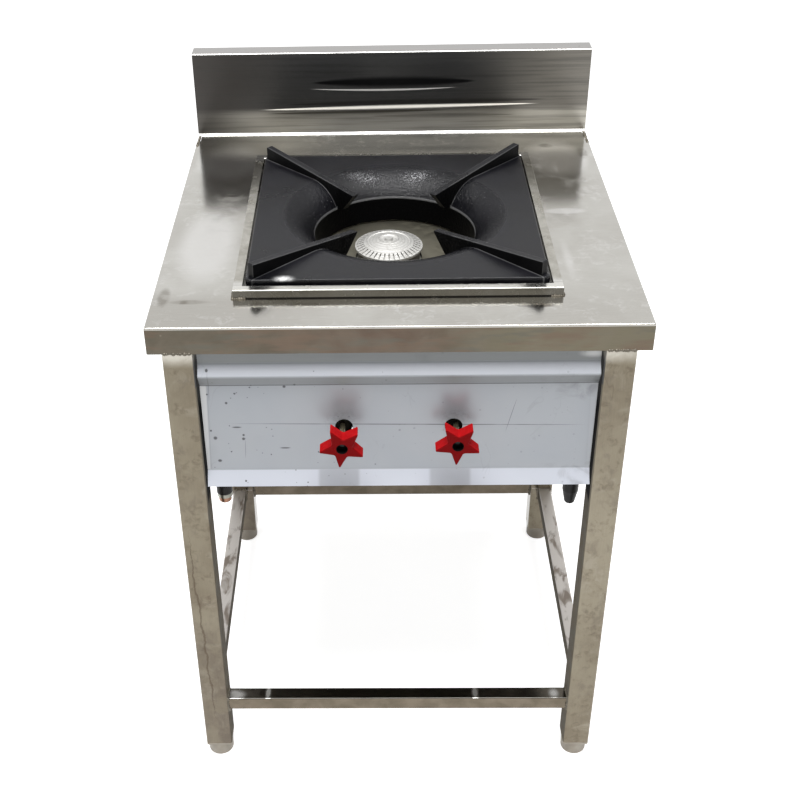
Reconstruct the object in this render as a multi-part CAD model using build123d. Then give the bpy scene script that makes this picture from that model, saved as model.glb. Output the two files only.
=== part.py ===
from build123d import *
import math
import os

# Single burner range: a folded steel table on four tube legs, a cast pan support dropped into its top,
# a gas burner below it, and two valves behind the front panel with star knobs on long spindles.
# Millimetres. +Z up, floor at Z = 0, front towards -Y, X and Y centred on the whole outline.

# Table top and splash back, one folded sheet
table_width = 610.0
table_depth = 602.0
table_height = 754.0
sheet = 1.2
fold_radius = 2.5
fillet_share = 0.9
splash_fold_radius = 4.0
fascia_height = 36.5
splash_height = 130.5
splash_return = 31.3
splash_hem = 12.0
relief_length = 26.0
relief_width = 6.0

# Legs, feet and braces
leg_side = 38.0
leg_wall = 1.5
leg_corner = 3.0
leg_inset = 18.0
back_leg_setback = 503.0
foot_height = 26.0
foot_flange = 3.0
foot_margin = 0.5
foot_rounding = 3.0
foot_plug_length = 24.0
foot_plug_clearance = 0.15
brace_side = 22.0
brace_wall = 1.2
brace_corner = 2.0
brace_top = 118.5
brace_setback = 3.0
rail_side = 25.0
rail_wall = 1.5
rail_corner = 2.0

# Panels between the legs
panel_sheet = 1.0
panel_gap = 3.0
panel_setback = 12.0
panel_bottom = 516.0
panel_flange = 18.0
bead_depth = 10.0
bead_top = 697.0
bead_crest = 683.0
bead_bottom = 665.0
lip_height = 19.0
lip_depth = 12.0
plain_panel_inset = 4.0
plain_panel_hem = 12.0
panel_fold_radius = 1.6

# Rim frame and cast pan support
rim_width = 408.0
rim_depth = 420.0
rim_bar = 12.0
rim_edge = 1.0
grate_setback = 280.0
grate_clearance_x = 3.0
grate_clearance_y = 5.0
grate_height = 17.0
grate_plate = 6.0
grate_wall = 6.0
grate_corner = 8.0
grate_edge = 2.0
opening_margin = 16.0
opening_corner = 12.0
funnel_radius = 158.0
funnel_drop = 31.0
funnel_wall = 5.0
ring_radius = 110.0
ring_wall = 5.0
ring_bottom = 49.0
rib_width = 10.0
rib_outer_radius = 260.0
rib_inner_radius = 76.0
rib_outer_height = 36.0
rib_inner_height = 16.0
rib_undercut = 22.0
rib_undercut_drop = 27.0
rib_edge = 1.5

# Spill tray, bearers and bracket
tray_size = 300.0
tray_sheet = 1.0
tray_rim = 12.0
tray_corner = 10.0
tray_drop = 52.0
tray_hole_clearance = 3.0
bearer_width = 25.0
bearer_thickness = 3.0
bearer_spacing = 200.0
bearer_end = 4.0
bearer_fold_radius = 4.0
bracket_width = 60.0
bracket_thickness = 4.0
bracket_overhang = 18.0

# Burner
burner_offset = -8.0
bowl_radius = 43.0
bowl_wall = 5.0
cap_base_drop = 37.0
cap_radius = 46.7
cap_edge = 3.0
cap_bore = 29.0
cap_step_width = 1.5
cap_step_drop = 0.75
cap_skirt_rise = 9.0
cap_skirt_radius = 30.0
cap_crown_rise = 12.5
cap_crown_radius = 14.0
cap_dip_radius = 10.0
cap_boss_radius = 6.5
cap_boss_rise = 14.0
cap_wall = 3.0
cap_spigot = 6.0
cap_clearance = 0.3
cap_slots = 40
cap_slot_width = 1.8
cap_slot_inner = 35.0
neck_radius = 24.0
neck_wall = 4.0
neck_clearance = 0.3
mixer_radius = 19.0
mixer_wall = 4.0
mixer_drop = 109.0
mouth_setback = 150.0
mouth_radius = 31.0
mouth_length = 34.0
bridge_reach = 26.0
bridge_thickness = 6.0
bridge_width = 12.0
jet_radius = 6.0
jet_tip_radius = 2.5
jet_tip_length = 5.0
jet_tail = 10.0
jet_bore = 1.0
shutter_radius = 22.0
shutter_thickness = 2.0
shutter_hub_radius = 9.0
shutter_hub_length = 7.0
shutter_gap = 8.0

# Gas line
pipe_radius = 10.65
pipe_wall = 2.6
manifold_setback = 62.0
drop_spacing = 468.0
elbow_bend = 22.0
elbow_radius = 13.5
elbow_length = 12.0
drop_bottom = 461.0
collar_radius = 10.2
collar_height = 6.0
nipple_radius = 8.6
nipple_height = 9.0
nipple_bore = 5.7
nipple_rounding = 3.0
plug_height = 22.0
plug_tip_radius = 6.5
plug_rounding = 4.0
hanger_width = 20.0
hanger_thickness = 3.0

# Valves, spindles and knobs
spindle_height = 601.0
main_spindle_x = -70.0
pilot_spindle_x = 73.0
main_hole_offset = 1.8
pilot_hole_offset = -3.2
hole_radius = 11.3
valve_radius = 16.5
valve_length = 20.0
valve_setback = 26.0
valve_stem_radius = 8.0
gland_width = 18.0
gland_length = 9.0
gland_overlap = 3.0
gland_thread_radius = 7.5
outlet_radius = 7.0
outlet_drop = 27.0
valve_bore = 2.5
union_width = 19.0
union_height = 12.0
union_lap = 7.0
spindle_radius = 3.0
spindle_tail = 12.0
running_clearance = 0.05
seat_clearance = 0.02
main_knob_reach = 26.0
pilot_knob_reach = 22.0
knob_thickness = 18.0
knob_radius = 30.5
knob_root_radius = 13.0
knob_points = 5
knob_tip_rounding = 1.2
knob_root_rounding = 4.0
knob_edge = 1.2
knob_hub_radius = 7.0
knob_hub_length = 5.0
knob_recess_radius = 7.0
knob_recess_depth = 9.0
main_knob_turn = -7.0
pilot_knob_turn = -3.0

# Gas tubes from the valves
main_tube_radius = 5.0
main_tube_bend = 10.0
pilot_tube_radius = 3.2
pilot_tube_bend = 12.0
tube_wall = 1.0
tube_run_drop = 24.0
jet_lead = 18.0
pilot_tip_x = 25.0
pilot_tip_reach = 58.0
pilot_tip_rise = 2.0
pilot_tip_radius = 5.0
pilot_tip_length = 12.0
pilot_tip_bore = 1.5
pilot_hole_clearance = 1.5

# Fasteners
screw_radius = 2.0
screw_head_radius = 4.0
screw_head_height = 2.4
screw_clearance = 0.1
screw_length = 8.0
bolt_radius = 3.0
bolt_head_width = 10.0
bolt_head_height = 4.0
bolt_tail = 3.0
bolt_flush_radius = 6.0

# Places worked out from the sizes above
knob_reach = max(main_knob_reach, pilot_knob_reach) + knob_hub_length + knob_thickness - panel_setback
front = (knob_reach - table_depth - splash_return) / 2
half_width = table_width / 2
top_under = table_height - sheet
leg_top = top_under - max(fold_radius - sheet, sheet / 4)
leg_x = half_width - leg_inset - leg_side / 2
leg_inner_x = leg_x - leg_side / 2
front_leg_y = front + sheet + leg_side / 2
back_leg_y = front + back_leg_setback + leg_side / 2
rail_z = top_under - rail_side / 2
rail_bottom = top_under - rail_side
brace_z = brace_top - brace_side / 2
plain_outer = leg_side / 2 - plain_panel_inset
back_screw_y = back_leg_y + plain_outer - panel_flange / 2
grate_y = front + grate_setback
grate_width = rim_width - 2 * rim_bar - 2 * grate_clearance_x
grate_depth = rim_depth - 2 * rim_bar - 2 * grate_clearance_y
tray_floor = table_height - tray_drop
bearer_top = tray_floor - tray_sheet
bearer_bottom = bearer_top - bearer_thickness
bearer_front = front_leg_y + rail_side / 2
bearer_back = back_leg_y - rail_side / 2
burner_x = burner_offset
burner_y = grate_y
cap_base = table_height - cap_base_drop
mixer_z = table_height - mixer_drop
mouth_y = front + mouth_setback
bridge_y = mouth_y - bridge_reach
jet_end = bridge_y - bridge_thickness / 2 - jet_tail
manifold_y = front + manifold_setback
drop_x = drop_spacing / 2
panel_y = front + panel_setback
valve_front = front + valve_setback
valve_back = valve_front + valve_length
valve_y = (valve_front + valve_back) / 2
gland_front = valve_front - gland_length
outlet_end = spindle_height - outlet_drop
tube_run_z = outlet_end - tube_run_drop
pilot_tip_y = burner_y - pilot_tip_reach
pilot_tip_base = tray_floor + pilot_tip_rise


def limited(radius, wall):
    return min(radius, fillet_share * wall)


def inner_corner(corner, wall):
    return max(corner - wall, wall / 4)


def block(x0, x1, y0, y1, z0, z1):
    return Pos((x0 + x1) / 2, (y0 + y1) / 2, (z0 + z1) / 2) * Box(x1 - x0, y1 - y0, z1 - z0)


def post(x, y, z0, z1, radius):
    return Pos(x, y, (z0 + z1) / 2) * Cylinder(radius, z1 - z0)


def rod_along_y(x, z, y0, y1, radius):
    return Pos(x, (y0 + y1) / 2, z) * Rot(90, 0, 0) * Cylinder(radius, y1 - y0)


def rod_along_x(y, z, x0, x1, radius):
    return Pos((x0 + x1) / 2, y, z) * Rot(0, 90, 0) * Cylinder(radius, x1 - x0)


def hex_prism(width, height):
    return extrude(RegularPolygon(width / 2, 6, major_radius=False), height)


def square_tube(side, wall, corner, length):
    inner = side - 2 * wall
    hollow = RectangleRounded(inner, inner, inner_corner(corner, wall))
    section = RectangleRounded(side, side, corner) - hollow
    return Pos(0, 0, -length / 2) * extrude(section, length)


def folded_strip(points, radii, thickness, x0, x1, side):
    # A strip of sheet bent along points in the YZ plane, as wide as x0 to x1.
    line = FilletPolyline(*points, radius=radii)
    face = make_face(offset(line, thickness, side=side))
    return Pos(x0, 0, 0) * extrude(Plane.YZ * face, x1 - x0)


def swept_tube(points, bend, radius, wall):
    line = FilletPolyline(*points, radius=bend)
    section = Circle(radius) - Circle(radius - wall)
    return sweep(Plane(line @ 0, z_dir=line % 0) * section, path=line)


# Frame


def leg(x, y):
    length = leg_top - foot_height
    return Pos(x, y, foot_height + length / 2) * square_tube(leg_side, leg_wall, leg_corner, length)


def foot(x, y):
    # A round pad, a square flange under the tube and a square plug up inside it.
    shoulder = foot_height - foot_flange
    pad = post(0, 0, 0, shoulder, leg_side / 2 - foot_margin)
    pad = fillet(pad.edges().group_by(Axis.Z)[0], limited(foot_rounding, shoulder))
    pad += Pos(0, 0, shoulder) * extrude(RectangleRounded(leg_side, leg_side, leg_corner), foot_flange)
    plug_side = leg_side - 2 * (leg_wall + foot_plug_clearance)
    plug_corner = inner_corner(leg_corner, leg_wall)
    plug = extrude(RectangleRounded(plug_side, plug_side, plug_corner), foot_plug_length)
    return Pos(x, y, 0) * (pad + Pos(0, 0, foot_height) * plug)


def bar_along_x(y, z, side, wall, corner):
    return Pos(0, y, z) * Rot(0, 90, 0) * square_tube(side, wall, corner, 2 * leg_inner_x)


def bar_along_y(x, z, side, wall, corner):
    length = back_leg_y - front_leg_y - leg_side
    middle = (back_leg_y + front_leg_y) / 2
    return Pos(x, middle, z) * Rot(90, 0, 0) * square_tube(side, wall, corner, length)


def rail_along_x(y, inward):
    # Drilled in its underside for the panel screws and in its inner face for the bearer screws.
    rail = bar_along_x(y, rail_z, rail_side, rail_wall, rail_corner)
    hole = screw_radius + seat_clearance
    screw_y = panel_screw_y() if inward > 0 else back_screw_y
    for x in panel_screw_places():
        rail -= post(x, screw_y, rail_bottom, rail_bottom + rail_wall, hole)
    face = y + inward * rail_side / 2
    for side in (-1, 1):
        rail -= rod_along_y(bearer_x(side), rail_z, face - rail_wall, face + rail_wall, hole)
    return rail


def rail_along_y(x):
    rail = bar_along_y(x, rail_z, rail_side, rail_wall, rail_corner)
    for y in side_screw_places():
        rail -= post(x, y, rail_bottom, rail_bottom + rail_wall, screw_radius + seat_clearance)
    return rail


# Table top


def table_shell(inset, radius, front_y, back_y, z0, z1):
    # A box with its front, side and front corner edges rounded, for the outside and inside of the top.
    shell = block(inset - half_width, half_width - inset, front_y, back_y, z0, z1)
    upright = shell.edges().filter_by(Axis.Z).group_by(Axis.Y)[0]
    crown = shell.edges().group_by(Axis.Z)[-1].sort_by(Axis.Y)[:-1]
    return fillet(upright + crown, radius)


def top_sheet():
    back = front + table_depth
    lap = back - relief_length
    low = table_height - fascia_height
    outside = table_shell(0, fold_radius, front, lap, low, table_height)
    inner_radius = inner_corner(fold_radius, sheet)
    inside = table_shell(sheet, inner_radius, front + sheet, back, low - fascia_height, top_under)
    top = outside - inside
    splash_top = table_height + splash_height
    splash = folded_strip(
        [
            (lap - relief_length, table_height),
            (back, table_height),
            (back, splash_top),
            (back + splash_return, splash_top),
            (back + splash_return, splash_top - splash_hem),
        ],
        [splash_fold_radius, fold_radius, fold_radius],
        sheet,
        -half_width,
        half_width,
        Side.RIGHT,
    )
    for side in (-1, 1):
        edge = side * (half_width - relief_width / 2)
        relief = Box(relief_width, 2 * relief_length - splash_fold_radius, 2 * fold_radius)
        splash -= Pos(edge, back - relief_length - splash_fold_radius / 2, table_height) * relief
    opening_width = grate_width - 2 * opening_margin
    opening_depth = grate_depth - 2 * opening_margin
    hole = extrude(RectangleRounded(opening_width, opening_depth, opening_corner), fascia_height, both=True)
    return top + splash - Pos(0, grate_y, table_height) * hole


def rim_frame():
    bars = extrude(Rectangle(rim_width, rim_depth), rim_bar)
    bars -= extrude(Rectangle(rim_width - 2 * rim_bar, rim_depth - 2 * rim_bar), rim_bar)
    worn = bars.edges().group_by(Axis.Z)[-1] + bars.edges().filter_by(Axis.Z)
    bars = fillet(worn, limited(rim_edge, rim_bar / 2))
    return Pos(0, grate_y, table_height) * bars


# Pan support


def funnel_arc(inset):
    # The dish leaves the plate level and ends at the ring, so its arc follows from both.
    run = funnel_radius - ring_radius
    radius = (run**2 + funnel_drop**2) / (2 * funnel_drop)
    swing = math.degrees(math.asin(run / radius))
    return CenterArc((funnel_radius, grate_height - radius), radius - inset, 90, swing)


def funnel():
    upper = funnel_arc(0)
    lower = funnel_arc(funnel_wall)
    outline = [upper, Line(upper @ 1, lower @ 1), lower, Line(lower @ 0, upper @ 0)]
    section = make_face(Wire(outline))
    dish = revolve(Plane.XZ * section, Axis.Z)
    ring = Pos(0, 0, grate_height - funnel_drop) * extrude(
        Circle(ring_radius + ring_wall) - Circle(ring_radius), -(ring_bottom + grate_height - funnel_drop)
    )
    return dish + ring


def rib(angle):
    tip_low = (rib_inner_radius + rib_undercut, rib_inner_height - rib_undercut_drop)
    bed = funnel_arc(funnel_wall / 2)
    plate_bed = grate_height - grate_plate / 2
    outline = Polyline(
        bed @ 0,
        (rib_outer_radius, plate_bed),
        (rib_outer_radius, rib_outer_height),
        (rib_inner_radius, rib_inner_height),
        tip_low,
        bed @ 1,
    )
    profile = make_face(Wire([bed, *outline.edges()]))
    slab = extrude(Plane.XZ * profile, rib_width / 2, both=True)
    ridge = slab.faces().sort_by(Axis.Z)[-1]
    slab = fillet(ridge.edges(), limited(rib_edge, rib_width / 2))
    return Rot(0, 0, angle) * slab


def pan_support():
    plate = extrude(RectangleRounded(grate_width, grate_depth, grate_corner), grate_height)
    plate = fillet(plate.edges().group_by(Axis.Z)[-1], limited(grate_edge, grate_plate))
    under_width = grate_width - 2 * grate_wall
    under_depth = grate_depth - 2 * grate_wall
    under_face = RectangleRounded(under_width, under_depth, inner_corner(grate_corner, grate_wall))
    under = extrude(under_face, grate_height - grate_plate)
    plate -= under + extrude(Circle(funnel_radius), grate_height)
    casting = plate + funnel()
    for side in (-1, 1):
        for end in (-1, 1):
            casting += rib(math.degrees(math.atan2(end * grate_depth, side * grate_width)))
    return Pos(0, grate_y, table_height) * casting


# Panels


def front_panel():
    crest_y = panel_y - bead_depth
    lip_top = panel_bottom + lip_height
    half = leg_inner_x - panel_gap
    skin = folded_strip(
        [
            (panel_y - lip_depth, panel_bottom),
            (panel_y, lip_top),
            (panel_y, bead_bottom),
            (crest_y, bead_crest),
            (panel_y, bead_top),
            (panel_y, rail_bottom),
            (panel_y + panel_flange, rail_bottom),
        ],
        panel_fold_radius,
        panel_sheet,
        -half,
        half,
        Side.RIGHT,
    )
    for x in (main_spindle_x + main_hole_offset, pilot_spindle_x + pilot_hole_offset):
        skin -= rod_along_y(x, spindle_height, panel_y - lip_depth, panel_y + lip_depth, hole_radius)
    screw_hole = screw_radius + screw_clearance
    for x in panel_screw_places():
        skin -= post(x, panel_screw_y(), rail_bottom - 2 * panel_sheet, rail_bottom, screw_hole)
    return skin


def panel_screw_places():
    return [-leg_inner_x / 2, 0.0, leg_inner_x / 2]


def panel_screw_y():
    return panel_y + panel_flange / 2


def plain_panel(length, flange, screw_line, screw_places):
    # A sheet along Y facing +X: a flange under its rail and a hem along the bottom, both turned inwards.
    line = FilletPolyline(
        (plain_outer - plain_panel_hem, panel_bottom),
        (plain_outer, panel_bottom),
        (plain_outer, rail_bottom),
        (plain_outer - flange, rail_bottom),
        radius=panel_fold_radius,
    )
    face = make_face(offset(line, panel_sheet, side=Side.LEFT))
    skin = extrude(Plane.XZ * face, length / 2, both=True)
    screw_hole = screw_radius + screw_clearance
    for y in screw_places:
        skin -= post(screw_line, y, rail_bottom - 2 * panel_sheet, rail_bottom, screw_hole)
    return skin


def side_panel(side):
    length = back_leg_y - front_leg_y - leg_side - 2 * panel_gap
    middle = (front_leg_y + back_leg_y) / 2
    places = [y - middle for y in side_screw_places()]
    skin = Pos(leg_x, middle, 0) * plain_panel(length, panel_flange + plain_panel_hem, 0, places)
    return skin if side > 0 else mirror(skin, Plane.YZ)


def back_panel():
    length = 2 * (leg_inner_x - panel_gap)
    skin = plain_panel(length, panel_flange, back_screw_y - back_leg_y, panel_screw_places())
    return Pos(0, back_leg_y, 0) * Rot(0, 0, 90) * skin


def side_screw_places():
    middle = (front_leg_y + back_leg_y) / 2
    step = (back_leg_y - front_leg_y) / 4
    return [middle - step, middle + step]


def screw_up(x, y, seat):
    # A pan head screw driven upwards, its head under the seat.
    head = post(x, y, seat - screw_head_height, seat, screw_head_radius)
    head = fillet(head.edges().group_by(Axis.Z)[0], screw_head_height / 2)
    return head + post(x, y, seat, seat + screw_length, screw_radius)


def panel_screws():
    seat = rail_bottom - panel_sheet
    places = [(x, panel_screw_y()) for x in panel_screw_places()]
    places += [(x, back_screw_y) for x in panel_screw_places()]
    places += [(side * leg_x, y) for side in (-1, 1) for y in side_screw_places()]
    return Compound(children=[screw_up(x, y, seat) for x, y in places])


# Tray, bearers and bracket


def spill_tray():
    inner = tray_size - 2 * tray_sheet
    pan = extrude(RectangleRounded(tray_size, tray_size, tray_corner), tray_rim + tray_sheet)
    pan -= Pos(0, 0, tray_sheet) * extrude(RectangleRounded(inner, inner, tray_corner - tray_sheet), tray_rim)
    pan = Pos(0, grate_y, bearer_top) * pan
    hole = bowl_radius + tray_hole_clearance
    pan -= post(burner_x, burner_y, bearer_top - tray_rim, bearer_top + tray_rim, hole)
    pilot_hole = pilot_tip_radius + pilot_hole_clearance
    return pan - post(pilot_tip_x, pilot_tip_y, bearer_top - tray_rim, bearer_top + tray_rim, pilot_hole)


def bearer_x(side):
    return side * bearer_spacing / 2


def bearer(side):
    end_top = top_under - bearer_end
    middle = bearer_x(side)
    strap = folded_strip(
        [
            (bearer_front, end_top),
            (bearer_front, bearer_bottom),
            (bearer_back, bearer_bottom),
            (bearer_back, end_top),
        ],
        bearer_fold_radius,
        bearer_thickness,
        middle - bearer_width / 2,
        middle + bearer_width / 2,
        Side.LEFT,
    )
    for y in (burner_y, manifold_y):
        strap -= flush_head(middle, y, bearer_top, screw_clearance)
    screw_hole = screw_radius + screw_clearance
    for y in (bearer_front, bearer_back):
        strap -= rod_along_y(middle, rail_z, y - bearer_thickness, y + bearer_thickness, screw_hole)
    return strap


def bearer_screws():
    # Screws through the upturned ends of the bearers, heads towards the middle of the range.
    screws = []
    for side in (-1, 1):
        x = bearer_x(side)
        for end, inward in ((bearer_front, 1), (bearer_back, -1)):
            seat = end + inward * bearer_thickness
            crown = seat + inward * screw_head_height
            head = rod_along_y(x, rail_z, min(seat, crown), max(seat, crown), screw_head_radius)
            tip = seat - inward * screw_length
            screws.append(head + rod_along_y(x, rail_z, min(tip, seat), max(tip, seat), screw_radius))
    return Compound(children=screws)


def burner_bracket():
    half = bearer_spacing / 2 + bracket_overhang
    y0 = burner_y - bracket_width / 2
    y1 = burner_y + bracket_width / 2
    bracket_bottom = bearer_bottom - bracket_thickness
    bar = block(-half, half, y0, y1, bracket_bottom, bearer_bottom)
    bar -= post(burner_x, burner_y, bracket_bottom, bearer_bottom, neck_radius + neck_clearance)
    hole = bolt_radius + screw_clearance
    for side in (-1, 1):
        bar -= post(bearer_x(side), burner_y, bracket_bottom, bearer_bottom, hole)
    return bar


def flush_head(x, y, seat, clearance):
    # The tapered head of a flush bolt, as deep as the bearer is thick.
    head = Cone(bolt_radius + clearance, bolt_flush_radius + clearance, bearer_thickness)
    return Pos(x, y, seat - bearer_thickness / 2) * head


def hex_bolt(x, y, seat, grip):
    # A flush bolt in the bearer, its nut under the clamped pieces.
    shank = post(x, y, seat - grip - bolt_head_height - bolt_tail, seat - bearer_thickness, bolt_radius)
    nut = Pos(x, y, seat - grip - bolt_head_height) * hex_prism(bolt_head_width, bolt_head_height)
    return shank + nut + flush_head(x, y, seat, 0)


def bracket_bolts():
    grip = bearer_thickness + bracket_thickness
    return Compound(children=[hex_bolt(bearer_x(side), burner_y, bearer_top, grip) for side in (-1, 1)])


# Burner


def burner_body():
    seat = bearer_bottom
    bowl = post(burner_x, burner_y, seat, cap_base, bowl_radius)
    neck = post(burner_x, burner_y, mixer_z, seat, neck_radius)
    heel = Pos(burner_x, burner_y, mixer_z) * Sphere(neck_radius)
    mixer = rod_along_y(burner_x, mixer_z, mouth_y, burner_y, mixer_radius)
    bell = Pos(burner_x, mouth_y + mouth_length / 2, mixer_z) * Rot(90, 0, 0)
    bell_outer = bell * Cone(mixer_radius, mouth_radius, mouth_length)
    bell_inner = bell * Cone(mixer_radius - mixer_wall, mouth_radius - mixer_wall, mouth_length)
    casting = bowl + neck + heel + mixer + bell_outer
    casting -= post(burner_x, burner_y, seat + bowl_wall, cap_base, bowl_radius - bowl_wall)
    casting -= post(burner_x, burner_y, mixer_z, seat + bowl_wall, neck_radius - neck_wall)
    casting -= Pos(burner_x, burner_y, mixer_z) * Sphere(neck_radius - neck_wall)
    casting -= rod_along_y(burner_x, mixer_z, mouth_y, burner_y, mixer_radius - mixer_wall) + bell_inner
    return casting + jet_bridge()


def jet_bridge():
    # Two arms from the bell mouth to a cross bar that carries the jet on the axis of the mixing tube.
    y0 = bridge_y - bridge_thickness / 2
    y1 = bridge_y + bridge_thickness / 2
    z0 = mixer_z - bridge_width / 2
    z1 = mixer_z + bridge_width / 2
    bar = block(burner_x - mouth_radius, burner_x + mouth_radius, y0, y1, z0, z1)
    for side in (-1, 1):
        outer = burner_x + side * mouth_radius
        inner = outer - side * mixer_wall
        bar += block(min(outer, inner), max(outer, inner), y0, mouth_y + bridge_thickness, z0, z1)
    bell_room = Pos(burner_x, mouth_y + mouth_length / 2, mixer_z) * Rot(90, 0, 0)
    bar -= bell_room * Cone(mixer_radius - mixer_wall, mouth_radius - mixer_wall, mouth_length)
    return bar - rod_along_y(burner_x, mixer_z, y0, y1, jet_radius + seat_clearance)


def burner_cap():
    mid_dip = (cap_crown_rise + cap_skirt_rise) / 2
    spigot = bowl_radius - bowl_wall - cap_clearance
    outline = Polyline(
        (cap_bore, -cap_spigot),
        (spigot, -cap_spigot),
        (spigot, 0),
        (cap_radius, 0),
        (cap_radius, cap_edge),
        (cap_skirt_radius, cap_skirt_rise),
        (cap_skirt_radius - cap_step_width, cap_skirt_rise - cap_step_drop),
        (cap_crown_radius, cap_crown_rise),
        (cap_dip_radius, mid_dip),
        (cap_boss_radius, mid_dip),
        (cap_boss_radius - cap_step_width, cap_boss_rise),
        (0, cap_boss_rise),
        (0, mid_dip - cap_wall),
        (cap_dip_radius, mid_dip - cap_wall),
        (cap_bore, cap_skirt_rise - 2 * cap_wall),
        (cap_bore, -cap_spigot),
    )
    cap = revolve(Plane.XZ * make_face(outline), Axis.Z)
    length = cap_radius - cap_slot_inner
    slot = Pos(cap_slot_inner + length, 0, cap_edge + cap_skirt_rise / 2)
    slot *= Box(2 * length, cap_slot_width, cap_skirt_rise)
    for turn in range(cap_slots):
        cap -= Rot(0, 0, 360 / cap_slots * turn) * slot
    return Pos(burner_x, burner_y, cap_base) * cap


def jet():
    y1 = mouth_y - shutter_gap + shutter_thickness
    barrel = rod_along_y(burner_x, mixer_z, jet_end, y1, jet_radius)
    nose = Pos(burner_x, y1 + jet_tip_length / 2, mixer_z) * Rot(-90, 0, 0)
    barrel += nose * Cone(jet_radius, jet_tip_radius, jet_tip_length)
    return barrel - rod_along_y(burner_x, mixer_z, jet_end, y1 + jet_tip_length, jet_bore)


def air_shutter():
    y1 = mouth_y - shutter_gap
    disc = rod_along_y(burner_x, mixer_z, y1 - shutter_thickness, y1, shutter_radius)
    disc += rod_along_y(burner_x, mixer_z, y1 - shutter_hub_length, y1, shutter_hub_radius)
    bore = jet_radius + running_clearance
    return disc - rod_along_y(burner_x, mixer_z, y1 - shutter_hub_length, y1, bore)


# Gas line


def manifold_pipe():
    half = drop_x - elbow_bend - elbow_length
    pipe = rod_along_x(manifold_y, spindle_height, -half, half, pipe_radius)
    pipe -= rod_along_x(manifold_y, spindle_height, -half, half, pipe_radius - pipe_wall)
    for x in (main_spindle_x, pilot_spindle_x):
        hole = valve_stem_radius + seat_clearance
        pipe -= rod_along_y(x, spindle_height, valve_back, manifold_y, hole)
    return pipe


def elbow(side):
    # A quarter bend between the manifold and a drop pipe, with a straight socket at each end.
    start = drop_x - elbow_bend - elbow_length
    line = FilletPolyline(
        (start, manifold_y, spindle_height),
        (drop_x, manifold_y, spindle_height),
        (drop_x, manifold_y, spindle_height - elbow_bend - elbow_length),
        radius=elbow_bend,
    )
    section = Circle(elbow_radius) - Circle(pipe_radius - pipe_wall)
    bend = sweep(Plane(line @ 0, z_dir=line % 0) * section, path=line)
    return bend if side > 0 else mirror(bend, Plane.YZ)


def drop_pipe(side):
    top = spindle_height - elbow_bend - elbow_length
    pipe = post(side * drop_x, manifold_y, drop_bottom, top, pipe_radius)
    return pipe - post(side * drop_x, manifold_y, drop_bottom, top, pipe_radius - pipe_wall)


def inlet_collar():
    ring = post(-drop_x, manifold_y, drop_bottom - collar_height, drop_bottom, collar_radius)
    return ring - post(-drop_x, manifold_y, drop_bottom - collar_height, drop_bottom, nipple_bore)


def inlet_nipple():
    top = drop_bottom - collar_height
    stub = post(-drop_x, manifold_y, top - nipple_height, top, nipple_radius)
    rounding = limited(nipple_rounding, nipple_radius - nipple_bore)
    stub = fillet(stub.edges().group_by(Axis.Z)[0], rounding)
    return stub - post(-drop_x, manifold_y, top - nipple_height, top, nipple_bore)


def pipe_plug():
    taper = Pos(drop_x, manifold_y, drop_bottom - plug_height / 2)
    plug = taper * Cone(plug_tip_radius, pipe_radius, plug_height)
    return fillet(plug.edges().group_by(Axis.Z)[0], limited(plug_rounding, plug_tip_radius))


def hanger(side):
    # A clip round the manifold on a strap that hangs from the bearer above it.
    x0 = bearer_x(side) - hanger_width / 2
    x1 = bearer_x(side) + hanger_width / 2
    outer = pipe_radius + hanger_thickness
    strap = block(
        x0,
        x1,
        manifold_y - outer,
        manifold_y - outer + hanger_thickness,
        spindle_height,
        bearer_bottom,
    )
    strap += rod_along_x(manifold_y, spindle_height, x0, x1, outer)
    tab_bottom = bearer_bottom - hanger_thickness
    strap += block(x0, x1, manifold_y - outer, manifold_y + outer, tab_bottom, bearer_bottom)
    strap -= rod_along_x(manifold_y, spindle_height, x0, x1, pipe_radius + seat_clearance)
    hole = bolt_radius + screw_clearance
    return strap - post(bearer_x(side), manifold_y, tab_bottom, bearer_bottom, hole)


def hanger_bolts():
    grip = bearer_thickness + hanger_thickness
    return Compound(children=[hex_bolt(bearer_x(side), manifold_y, bearer_top, grip) for side in (-1, 1)])


# Valves


def valve(x):
    body = rod_along_y(x, spindle_height, valve_front, valve_back, valve_radius)
    body += rod_along_y(x, spindle_height, valve_front - gland_overlap, valve_front, gland_thread_radius)
    stem_end = manifold_y - pipe_radius + pipe_wall
    body += rod_along_y(x, spindle_height, valve_back, stem_end, valve_stem_radius)
    body += post(x, valve_y, outlet_end, spindle_height, outlet_radius)
    bore_end = valve_front + spindle_tail
    spindle_bore = spindle_radius + running_clearance
    passage = rod_along_y(x, spindle_height, valve_front - gland_overlap, bore_end, spindle_bore)
    passage += rod_along_y(x, spindle_height, bore_end, stem_end, valve_bore)
    passage += post(x, valve_y, outlet_end, spindle_height, valve_bore)
    return body - passage


def gland_nut(x):
    nut = Pos(x, gland_front, spindle_height) * Rot(-90, 0, 0) * hex_prism(gland_width, gland_length)
    thread = gland_thread_radius + seat_clearance
    nut -= rod_along_y(x, spindle_height, valve_front - gland_overlap, valve_front, thread)
    bore = spindle_radius + running_clearance
    return nut - rod_along_y(x, spindle_height, gland_front, valve_front, bore)


def union_nut(x, tube_radius):
    top = outlet_end + union_lap
    bottom = top - union_height
    nut = Pos(x, valve_y, bottom) * hex_prism(union_width, union_height)
    nut -= post(x, valve_y, outlet_end, top, outlet_radius + seat_clearance)
    return nut - post(x, valve_y, bottom, outlet_end, tube_radius + seat_clearance)


def spindle(x, reach):
    hub_back = panel_y - reach
    end = hub_back - knob_hub_length - knob_thickness + knob_recess_depth
    return rod_along_y(x, spindle_height, end, valve_front + spindle_tail - running_clearance, spindle_radius)


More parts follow.
